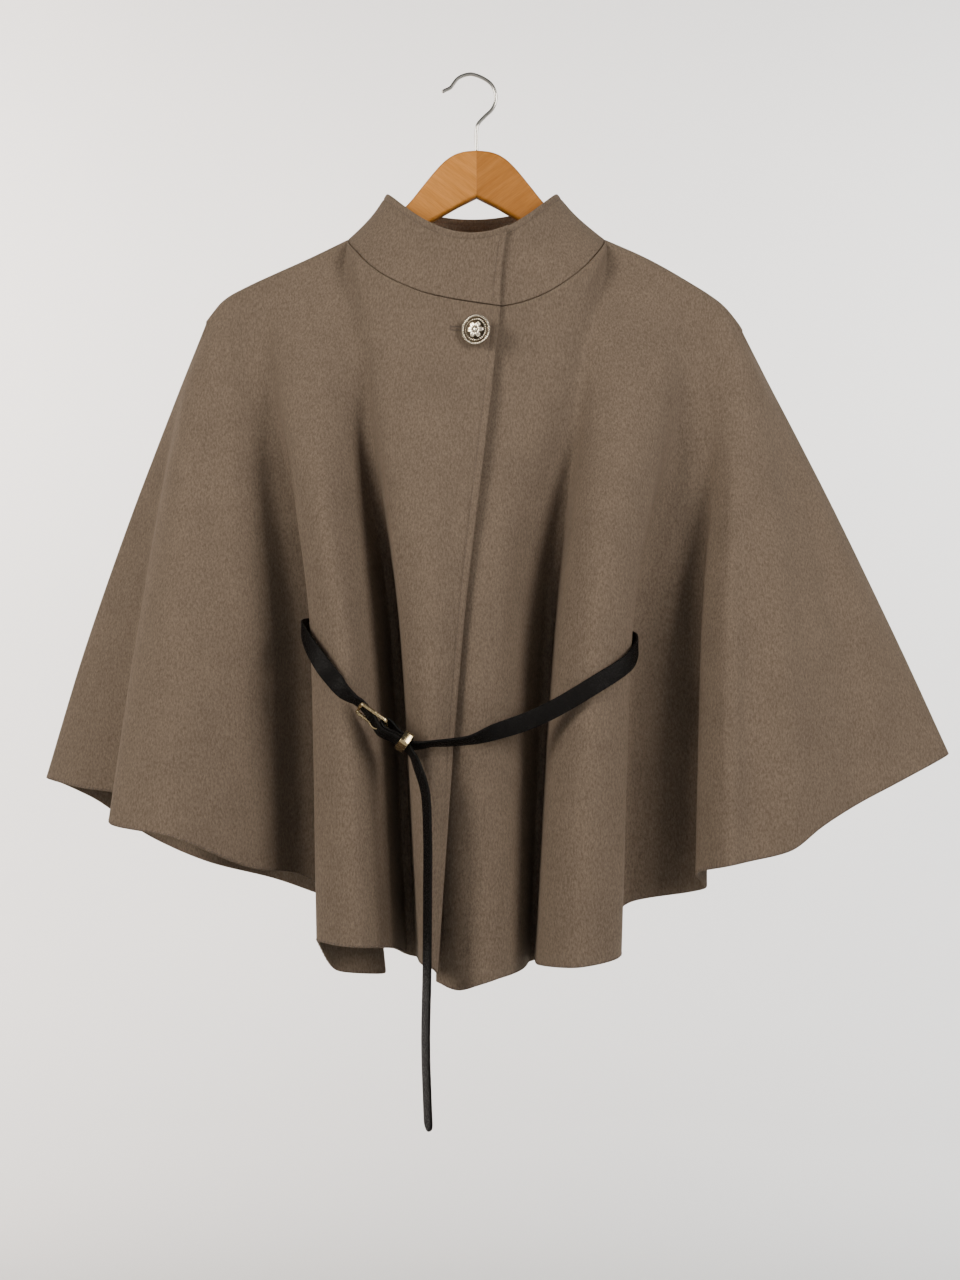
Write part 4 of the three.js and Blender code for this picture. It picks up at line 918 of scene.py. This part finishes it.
def beech(name, dark, light, slope):
    material = new_material(name)
    place = add_node(material, "TexCoord", {})
    turned = add_node(material, "Mapping", {
        "Vector": (place, "Object"), "Rotation": (0, math.radians(slope), 0),
    })
    stretched = add_node(material, "Mapping", {"Vector": (turned, "Vector"), "Scale": (0.06, 1, 1)})
    growth = add_node(material, "TexNoise", {
        "Vector": (stretched, "Vector"), "Scale": 260.0, "Detail": 3.0, "Roughness": 0.6,
    })
    pores = add_node(material, "TexNoise", {
        "Vector": (stretched, "Vector"), "Scale": 1500.0, "Detail": 2.0, "Roughness": 0.7,
    })
    growth_part = add_node(material, "MapRange", {
        "Value": (growth, "Fac"), "From Min": 0.3, "From Max": 0.7,
    })
    pore_part = add_node(material, "MapRange", {
        "Value": (pores, "Fac"), "From Min": 0.35, "From Max": 0.62, "To Min": 0.72, "To Max": 1.0,
    })
    ground = add_node(material, "Mix", {
        0: (growth_part, "Result"), 6: linear(dark), 7: linear(light),
    }, data_type="RGBA")
    colour = add_node(material, "Mix", {
        0: 0.6, 6: (ground, 2), 7: (pore_part, "Result"),
    }, data_type="RGBA", blend_type="MULTIPLY")
    bump = add_node(material, "Bump", {"Height": (pores, "Fac"), "Strength": 0.12, "Distance": 0.0002})
    shader = add_node(material, "BsdfPrincipled", {
        "Base Color": (colour, 2), "Normal": (bump, "Normal"), "Roughness": 0.5,
        "Specular IOR Level": 0.35, "Coat Weight": 0.15, "Coat Roughness": 0.25,
    })
    add_node(material, "OutputMaterial", {"Surface": (shader, "BSDF")})
    return material


# Each arm gets its own copy of the beech, the left one darker as painted shade.
for arm_name, side, slope in (("right", -1, -38), ("left", 1, 38)):
    arm_wood = beech("beech_varnished_painted_side_light_" + arm_name, *WOOD_COLOURS_LIT_AND_SHADED[arm_name], slope)
    arm = f"hanger_arm_{arm_name}"
    new_piece(arm + "_wood", *hanger_arm(side), arm_wood, "hanger_wood", [arm])

# The hook
# Round steel wire 3.3 mm thick, driven into the mitre, bent into an open hook to one side and plated.
HOOK_WIRE = 3.3
HOOK_LINE = [
    (0, -94), (0, -67), (-0.1, -50), (1.2, -43.8), (7.6, -36.4), (13.5, -30.8), (16.7, -24.6), (17.3, -18),
    (15.6, -11.4), (12.5, -6.8), (7, -2.7), (0.1, 0.4), (-5.4, 1.6), (-12.3, 0.1), (-17.1, -2.6),
    (-20.5, -6.7), (-23.3, -10.5), (-27.4, -12.6), (-30, -14),
]
WIRE_SIDES = 20


def centripetal(points, parts):
    """A smooth curve through all points, each span cut in so many parts, with the span place of each."""
    points = np.array(points, float)
    ends = [2 * points[0] - points[1], 2 * points[-1] - points[-2]]
    knots = np.concatenate([[ends[0]], points, [ends[1]]])
    places, line = [], []
    for span, count in enumerate(parts):
        p0, p1, p2, p3 = knots[span : span + 4]
        d0, d1, d2 = (math.sqrt(np.linalg.norm(b - a)) for a, b in ((p0, p1), (p1, p2), (p2, p3)))
        leave = ((p1 - p0) / d0 - (p2 - p0) / (d0 + d1) + (p2 - p1) / d1) * d1
        arrive = ((p2 - p1) / d1 - (p3 - p1) / (d1 + d2) + (p3 - p2) / d2) * d1
        last = 1 if span == len(parts) - 1 else 0
        for k in range(count + last):
            t = k / count
            bend = p1 + t * leave + t**2 * (3 * (p2 - p1) - 2 * leave - arrive)
            line.append(bend + t**3 * (2 * (p1 - p2) + leave + arrive))
            places.append(span + t)
    return np.array(line), np.array(places)


def round_wire(line, radii, upright, sides):
    """Rings round a line, each standing square to it."""
    ways = unit(np.gradient(line, axis=0))
    rings = []
    for point, way, radius in zip(line, ways, radii):
        side = unit(np.cross(way, upright))
        up = np.cross(side, way)
        for k in range(sides):
            angle = 2 * math.pi * k / sides
            rings.append(point + radius * (side * math.cos(angle) + up * math.sin(angle)))
    return np.array(rings)


# The rounded end of the wire: how far past its last point, and its radius as a part of the wire's
HOOK_CAP = [(0.5, 0.94), (0.9, 0.78), (1.2, 0.5), (1.35, 0.2)]
hook_line, _ = centripetal([(x, 0, z) for x, z in HOOK_LINE], [8] * (len(HOOK_LINE) - 1))
hook_end = unit(hook_line[-1] - hook_line[-2])
hook_radii = [HOOK_WIRE / 2] * len(hook_line) + [HOOK_WIRE / 2 * part for _, part in HOOK_CAP]
hook_line = np.concatenate([hook_line, [hook_line[-1] + hook_end * reach for reach, _ in HOOK_CAP]])
hook_corners = round_wire(hook_line, hook_radii, np.array([0.0, 1.0, 0.0]), WIRE_SIDES)

# Bright nickel-plated steel wire, drawn: a clean mirror-like line with faint die marks along the wire.
hook_steel = new_material("steel_wire_nickel_plated")
hook_place = add_node(hook_steel, "TexCoord", {})
hook_marks = add_node(hook_steel, "TexNoise", {
    "Vector": (hook_place, "Object"), "Scale": 500.0, "Detail": 4.0, "Roughness": 0.7,
})
hook_gloss = add_node(hook_steel, "MapRange", {"Value": (hook_marks, "Fac"), "To Min": 0.14, "To Max": 0.3})
hook_shader = add_node(hook_steel, "BsdfPrincipled", {
    "Base Color": linear("#C9C7C2"), "Metallic": 1.0, "Roughness": (hook_gloss, "Result"),
})
add_node(hook_steel, "OutputMaterial", {"Surface": (hook_shader, "BSDF")})
hook_faces = tube_faces(len(hook_line), WIRE_SIDES)
new_piece("hanger_hook_wire", hook_corners, hook_faces, hook_steel, "hook_steel", ["hanger_hook"])

# The belt strap
# One strap of black leather, 15 mm wide and 2.2 mm thick, with a creased line along both painted edges. It
# goes through a slit in each front and behind the hanging back, and its tail hangs edge-on to the front.
BELT = {"width": 15, "thickness": 2.2, "clearance": 0.3}
BUCKLE = {"length": 28, "width": 22, "wire": 3, "turn": 60, "prong": 0.9}
KEEPER = {"at": 34, "length": 8, "plate": 1.4, "room": 0.6}
BUCKLE_CENTRE = np.array([-86.5, -121, -571])
# The reach of the squarish wire to its corners, as a part of its thickness
WIRE_CORNER = 0.71
HINGE_X = BUCKLE["length"] / 2 - BUCKLE["wire"] / 2
BAR_TO_STRAP = BUCKLE["wire"] * WIRE_CORNER + 2 * BELT["clearance"] + BELT["thickness"] / 2
# From one layer of the strap to the next, with room for their curve
LAYER_ROOM = 0.25
LAYER = BELT["thickness"] + BELT["clearance"] + LAYER_ROOM

# The buckle's own axes: along the belt to the keeper, out of the belt's face, and across its width
buckle_along = np.array([27.5, 0, -19.6]) / math.hypot(27.5, 19.6)
buckle_upright = np.array([-buckle_along[2], 0, buckle_along[0]])
buckle_turn = math.radians(BUCKLE["turn"])
buckle_face = np.array([0, -math.cos(buckle_turn), 0]) - math.sin(buckle_turn) * buckle_upright
BUCKLE_AXES = np.array([buckle_along, buckle_face, np.cross(buckle_along, buckle_face)])


def on_buckle(points):
    """Points in the buckle's own axes, as they stand on the cape."""
    return np.asarray(points, float) @ BUCKLE_AXES + BUCKLE_CENTRE


def stop(x, y, z, heading, tilt=0):
    """A stop of the belt: its middle point, and the way its outer face looks, turned and tilted."""
    h, t = math.radians(heading), math.radians(tilt)
    return (x, y, z), (math.sin(h) * math.cos(t), -math.cos(h) * math.cos(t), -math.sin(t))


def buckle_stop(x, y, face_x=0, face_y=1):
    return tuple(on_buckle((x, y, 0))), tuple(np.array([face_x, face_y, 0]) @ BUCKLE_AXES)


def crest_stop(fold, beside, z, turn, half):
    """A stop where the belt lies on a fold's crest, clear of the cloth by the room that its turn needs."""
    at = FOLD_NAMES.index(fold) + beside
    heights = cloth_points(np.array([at]), [(1, 0), (1, 1)], half)[0, :, 2]
    fall = (z - heights[0]) / (heights[1] - heights[0])
    x, y, _ = cloth_points(np.array([at]), [(1, 0), (1, fall)], half)[0, 1]
    angle = math.radians(turn)
    reach = BELT["width"] / 2 * math.sin(angle) + BELT["thickness"] / 2 * math.cos(angle)
    return stop(x, y - WALL / 2 - 2 * BELT["clearance"] - reach, z, 0, turn)


TAIL_STOPS = [
    stop(-39.2, -128, -912, -64), stop(-40.3, -128, -885, -64), stop(-41.6, -128, -840, -64),
    stop(-40.5, -128, -780, -64), stop(-40, -128.5, -720, -64), stop(-40, -129, -665, -64),
    stop(-42, -129, -632, -62), stop(-47.5, -128, -614, -60, 20), stop(-51.5, -126, -604, -48, 48),
]
BUCKLED_STOPS = [
    buckle_stop(KEEPER["at"] + 5, 1.5 * LAYER), buckle_stop(KEEPER["at"], 1.5 * LAYER),
    buckle_stop(KEEPER["at"] - 8, 1.55 * LAYER), buckle_stop(HINGE_X, BAR_TO_STRAP + LAYER),
    buckle_stop(3, 1.6), buckle_stop(-HINGE_X, -BAR_TO_STRAP), buckle_stop(-HINGE_X - 7, -BAR_TO_STRAP),
]
ROUND_STOPS = [
    crest_stop("second crest", 0, -550.5, 34, "right front"),
    crest_stop("second crest", 0.2, -543, 18, "right front"),
    stop(-127, -112, -530, -14), stop(-140, -100, -512, -50), stop(-147.5, -84, -500, -84),
    stop(-149, -62, -497, -92), stop(-146.5, -44, -496, -105), stop(-140, -28, -497, -115),
    stop(-131.5, -11, -499, -120), stop(-117, 4, -501, -145), stop(-96, 13, -503, -170),
    stop(-40, 15, -505, -180), stop(40, 15, -505, -180), stop(78, 9, -504, -200), stop(100, -9, -504, -222),
    stop(116, -32, -505, -230), stop(130.5, -45, -506, -234), stop(136.5, -54, -508, -250),
    stop(138, -67, -511, -270), stop(135.8, -84, -516, -290), stop(127, -103, -527, -318),
    crest_stop("left second crest", 0, -546, 0, "left front"),
    stop(64.3, -114.5, -565, -360), stop(41.5, -113, -575.5, -360), stop(15.6, -116, -584, -360, 25),
    stop(-6, -120.5, -590.5, -360, 60), crest_stop("centre crest", 0.1, -593.5, 72, "right front"),
    stop(-47, -121.5, -594.6, -360, 66),
]
DOUBLED_STOPS = [
    buckle_stop(KEEPER["at"] + 4.5, 0.5 * LAYER), buckle_stop(KEEPER["at"] - 5, 0.5 * LAYER),
    buckle_stop(HINGE_X, BAR_TO_STRAP), buckle_stop(HINGE_X - BAR_TO_STRAP, 0, -1, 0),
    buckle_stop(HINGE_X, -BAR_TO_STRAP, 0, -1), buckle_stop(KEEPER["at"] - 8, -0.5 * LAYER, 0, -1),
    buckle_stop(KEEPER["at"] + 5, -0.5 * LAYER, 0, -1),
]
BELT_STOPS = TAIL_STOPS + BUCKLED_STOPS + ROUND_STOPS + DOUBLED_STOPS
# The strap's section across its width and thickness: the outer face with its creased lines, then the inner
STRAP_SECTION = [
    (-7.5, 0.3), (-7.2, 0.85), (-6.7, 1.1), (-6.2, 0.98), (-5.7, 1.1), (-2, 1.1), (2, 1.1), (5.7, 1.1),
    (6.2, 0.98), (6.7, 1.1), (7.2, 0.85), (7.5, 0.3), (7.5, -0.4), (7.1, -0.95), (6.4, -1.1), (0, -1.1),
    (-6.4, -1.1), (-7.1, -0.95), (-7.5, -0.4),
]
# The spacing of the strap's rings, and the width of its rounded tip's end as a part of the whole
STRAP_STEP = 2.2
STRAP_TIP = 0.22

stop_points = np.array([point for point, _ in BELT_STOPS])
stop_faces = np.array([face for _, face in BELT_STOPS])
stop_gaps = np.linalg.norm(np.diff(stop_points, axis=0), axis=1)
strap_parts = [max(4, math.ceil(gap / STRAP_STEP)) for gap in stop_gaps]
strap_line, strap_places = centripetal(stop_points, strap_parts)
strap_ways = unit(np.gradient(strap_line, axis=0))
strap_rings = []
for point, way, place in zip(strap_line, strap_ways, strap_places):
    span = min(int(place), len(BELT_STOPS) - 2)
    face = stop_faces[span] + (stop_faces[span + 1] - stop_faces[span]) * (place - span)
    face = unit(face - way * (face @ way))
    across = np.cross(way, face)
    from_tip = np.linalg.norm(point - strap_line[0])
    narrow = math.sqrt(1 - (1 - min(from_tip / (BELT["width"] / 2), 1)) ** 2)
    for w, t in STRAP_SECTION:
        strap_rings.append(point + across * w * max(narrow, STRAP_TIP) + face * t)

# Cowhide, drum dyed black and boarded: a fine pebbled grain with a soft sheen on its high places and duller
# leather down in it. Real pebbles are under 1 mm, and are drawn 1.6 mm across so that they show.
leather = new_material("cowhide_black_boarded")
leather_place = add_node(leather, "TexCoord", {})
leather_pebbles = add_node(leather, "TexVoronoi", {
    "Vector": (leather_place, "Object"), "Scale": 620.0, "Smoothness": 0.5,
}, feature="SMOOTH_F1")
leather_wear = add_node(leather, "TexNoise", {
    "Vector": (leather_place, "Object"), "Scale": 120.0, "Detail": 4.0, "Roughness": 0.6,
})
leather_colour = add_node(leather, "Mix", {
    0: (leather_wear, "Fac"), 6: linear("#050404"), 7: linear("#0F0D0C"),
}, data_type="RGBA")
leather_gloss = add_node(leather, "MapRange", {
    "Value": (leather_pebbles, "Distance"), "From Max": 0.6, "To Min": 0.3, "To Max": 0.65,
})
leather_bump = add_node(leather, "Bump", {
    "Height": (leather_pebbles, "Distance"), "Strength": 0.8, "Distance": 0.0005,
}, invert=True)
leather_shader = add_node(leather, "BsdfPrincipled", {
    "Base Color": (leather_colour, 2), "Roughness": (leather_gloss, "Result"),
    "Normal": (leather_bump, "Normal"), "Specular IOR Level": 0.13,
})
add_node(leather, "OutputMaterial", {"Surface": (leather_shader, "BSDF")})
strap_faces = [tuple(reversed(face)) for face in tube_faces(len(strap_line), len(STRAP_SECTION))]
new_piece("belt_strap_leather", strap_rings, strap_faces, leather, "belt_leather", ["belt_strap"])

# The buckle and the keeper
# A small rectangular frame of 3 mm wire with a hinged prong, and a keeper bent from 1.4 mm strip, all
# polished brass with a gold lacquer.
FRAME_CORNER = 2.6
WIRE_ROUND = 16
WIRE_SQUARENESS = 2.6
PRONG_SIDES = 14


def closed_ring(path, section, out_axis):
    """A ring along a closed flat path; section gives each corner's reach outwards and along out_axis."""
    before, after = np.roll(path, 1, axis=0), np.roll(path, -1, axis=0)
    ways = unit(after - before)
    outward = np.stack([ways[:, 1], -ways[:, 0]], -1)
    corners = []
    for (px, pz), (ox, oz) in zip(path, outward):
        for reach, rise in section:
            flat = (px + ox * reach, pz + oz * reach)
            corners.append((flat[0], rise, flat[1]) if out_axis == "y" else (rise, flat[0], flat[1]))
    count, sides = len(path), len(section)
    faces = []
    for ring in range(count):
        for k in range(sides):
            a, b = ring * sides + k, ring * sides + (k + 1) % sides
            c = ((ring + 1) % count) * sides + (k + 1) % sides
            faces.append((a, b, c, ((ring + 1) % count) * sides + k))
    return corners, faces


# Brass, polished and gold lacquered: warm and bright, with a slightly uneven gloss from wear on its faces.
brass = new_material("brass_polished_gold_lacquered")
brass_place = add_node(brass, "TexCoord", {})
brass_wear = add_node(brass, "TexNoise", {
    "Vector": (brass_place, "Object"), "Scale": 350.0, "Detail": 4.0, "Roughness": 0.65,
})
brass_gloss = add_node(brass, "MapRange", {"Value": (brass_wear, "Fac"), "To Min": 0.16, "To Max": 0.36})
brass_colour = add_node(brass, "Mix", {
    0: (brass_wear, "Fac"), 6: linear("#A8926A"), 7: linear("#E0CFA6"),
}, data_type="RGBA")
brass_shader = add_node(brass, "BsdfPrincipled", {
    "Base Color": (brass_colour, 2), "Metallic": 1.0, "Roughness": (brass_gloss, "Result"),
})
add_node(brass, "OutputMaterial", {"Surface": (brass_shader, "BSDF")})

wire_half = BUCKLE["wire"] / 2
round_section = []
for k in range(WIRE_ROUND):
    angle = 2 * math.pi * k / WIRE_ROUND
    power = abs(math.cos(angle)) ** WIRE_SQUARENESS + abs(math.sin(angle)) ** WIRE_SQUARENESS
    reach = wire_half * power ** (-1 / WIRE_SQUARENESS)
    round_section.append((reach * math.cos(angle), reach * math.sin(angle)))
frame_path = ring_path(BUCKLE["length"] - BUCKLE["wire"], BUCKLE["width"] - BUCKLE["wire"], FRAME_CORNER, 6)
frame_corners, frame_faces = closed_ring(frame_path, round_section, "y")
frame_corners = on_buckle(frame_corners)
new_piece("buckle_frame_brass", frame_corners, frame_faces, brass, "buckle_gold", ["buckle_frame"])

plate, room = KEEPER["plate"], KEEPER["room"]
stack_height = 3 * LAYER + 2 * (room + plate)
keeper_path = ring_path(stack_height - plate, BELT["width"] + 2 * room + plate, 1.6, 5)
half_length = KEEPER["length"] / 2
keeper_section = [
    (plate / 2, half_length - 0.4), (plate / 2 - 0.3, half_length), (-plate / 2, half_length),
    (-plate / 2, -half_length), (plate / 2 - 0.3, -half_length), (plate / 2, -half_length + 0.4),
]
keeper_corners, keeper_faces = closed_ring(keeper_path, keeper_section, "x")
keeper_shift = np.array([KEEPER["at"], LAYER / 2, 0])
keeper_faces = [tuple(reversed(face)) for face in keeper_faces]
keeper_corners = on_buckle(np.array(keeper_corners) + keeper_shift)
new_piece("belt_keeper_brass", keeper_corners, keeper_faces, brass, "buckle_gold", ["belt_keeper"])

prong_reach = BUCKLE["wire"] * WIRE_CORNER + BELT["clearance"] + BUCKLE["prong"]
prong_stops = []
for degrees in range(-150, 91, 30):
    angle = math.radians(degrees)
    prong_stops.append((HINGE_X + prong_reach * math.cos(angle), prong_reach * math.sin(angle), 0))
prong_stops += [(HINGE_X - 6, BAR_TO_STRAP + LAYER + 0.8, 0), (0, 5.2, 0)]
prong_stops.append((-HINGE_X - 1, prong_reach + 0.3, 0))
prong_line, prong_places = centripetal(prong_stops, [6] * (len(prong_stops) - 1))
prong_taper = 1 - 0.25 * smoothstep(prong_places, 8, len(prong_stops) - 1)
prong_taper[-3:] *= (0.92, 0.75, 0.45)
prong_rings = round_wire(prong_line, BUCKLE["prong"] * prong_taper, np.array([0.0, 0.0, 1.0]), PRONG_SIDES)
prong_faces = tube_faces(len(prong_line), PRONG_SIDES)
new_piece("buckle_prong_brass", on_buckle(prong_rings), prong_faces, brass, "buckle_gold", ["buckle_prong"])

# The studio
# A pale painted floor that runs up all round into a low wall, a tall soft window at each side in front, two
# lamps on the wall behind, and the camera straight in front, level with the middle of the cape.
FLOOR = {"z": -1.6, "flat": 2.4, "radius": 3.6, "wall": 2.6}
FLOOR_SIDES = 96
FLAT_RINGS = 6
BEND_RINGS = 12
floor_rings = [(0.02, 0.0)] + [(FLOOR["flat"] * k / FLAT_RINGS, 0.0) for k in range(1, FLAT_RINGS + 1)]
bend_radius = FLOOR["radius"] - FLOOR["flat"]
for k in range(1, BEND_RINGS + 1):
    angle = math.pi / 2 * k / BEND_RINGS
    floor_rings.append((FLOOR["flat"] + bend_radius * math.sin(angle), bend_radius * (1 - math.cos(angle))))
floor_rings.append((FLOOR["radius"], FLOOR["wall"] + bend_radius))
floor_corners = []
for radius, rise in floor_rings:
    for k in range(FLOOR_SIDES):
        angle = 2 * math.pi * k / FLOOR_SIDES
        floor_corners.append((radius * math.cos(angle), radius * math.sin(angle), FLOOR["z"] + rise))
floor_mesh = bpy.data.meshes.new("studio_floor")
floor_faces = tube_faces(len(floor_rings), FLOOR_SIDES, closed_ends=False)
floor_faces.append(tuple(range(FLOOR_SIDES)))
floor_mesh.from_pydata(floor_corners, [], floor_faces)
floor_mesh.polygons.foreach_set("use_smooth", [True] * len(floor_mesh.polygons))
floor = bpy.data.objects.new("studio_floor", floor_mesh)
bpy.context.scene.collection.objects.link(floor)
# Matt emulsion paint, rolled: an even pale grey with a trace of unevenness.
paint = new_material("emulsion_paint_pale_grey")
paint_place = add_node(paint, "TexCoord", {})
paint_cloud = add_node(paint, "TexNoise", {"Vector": (paint_place, "Object"), "Scale": 1.2})
paint_colour = add_node(paint, "Mix", {
    0: (paint_cloud, "Fac"), 6: linear("#B6B8B9"), 7: linear("#BEBFBE"),
}, data_type="RGBA")
paint_shader = add_node(paint, "BsdfPrincipled", {
    "Base Color": (paint_colour, 2), "Roughness": 0.9, "Specular IOR Level": 0.2,
})
add_node(paint, "OutputMaterial", {"Surface": (paint_shader, "BSDF")})
floor_mesh.materials.append(paint)

# The air gives a trace of cool light from all round.
world = bpy.context.scene.world or bpy.data.worlds.new("studio_air")
bpy.context.scene.world = world
world.use_nodes = True
air = world.node_tree.nodes["Background"]
air.inputs["Color"].default_value = linear("#DCE0E4")
air.inputs["Strength"].default_value = 0.06

# Each light: its place, what it faces, its size across and down in metres, its power in watts, its colour
LIGHTS = {
    "window_left": ((-1.75, -1.55, 0.45), (0.0, 0.0, -0.45), (0.8, 1.1), 56, "#FFF7EC"),
    "window_right": ((1.75, -1.55, 0.45), (0.0, 0.0, -0.45), (0.8, 1.1), 52, "#FFF8F0"),
    "wall_left": ((-1.5, 0.9, 0.6), (-1.8, 3.4, 0.4), (0.9, 1.6), 335, "#FFF0E6"),
    "wall_right": ((1.4, 0.9, 0.5), (1.6, 3.4, 0.2), (0.9, 1.6), 215, "#FBFAFA"),
}
for light_name, (place, aim, size, power, colour) in LIGHTS.items():
    lamp = bpy.data.lights.new(light_name, "AREA")
    lamp.shape = "RECTANGLE"
    lamp.size, lamp.size_y = size
    lamp.energy = power
    lamp.color = linear(colour)[:3]
    light = bpy.data.objects.new(light_name, lamp)
    light.location = place
    light.rotation_euler = (Vector(aim) - Vector(place)).to_track_quat("-Z", "Y").to_euler()
    light.visible_camera = False
    bpy.context.scene.collection.objects.link(light)

camera_data = bpy.data.cameras.new("photographer")
camera_data.lens = 46.875
camera_data.sensor_width = 36
camera_data.sensor_fit = "AUTO"
camera = bpy.data.objects.new("photographer", camera_data)
camera.location = (0.00855, -1.5, -0.5076)
camera.rotation_euler = (math.radians(90), 0, 0)
bpy.context.scene.collection.objects.link(camera)
bpy.context.scene.camera = camera
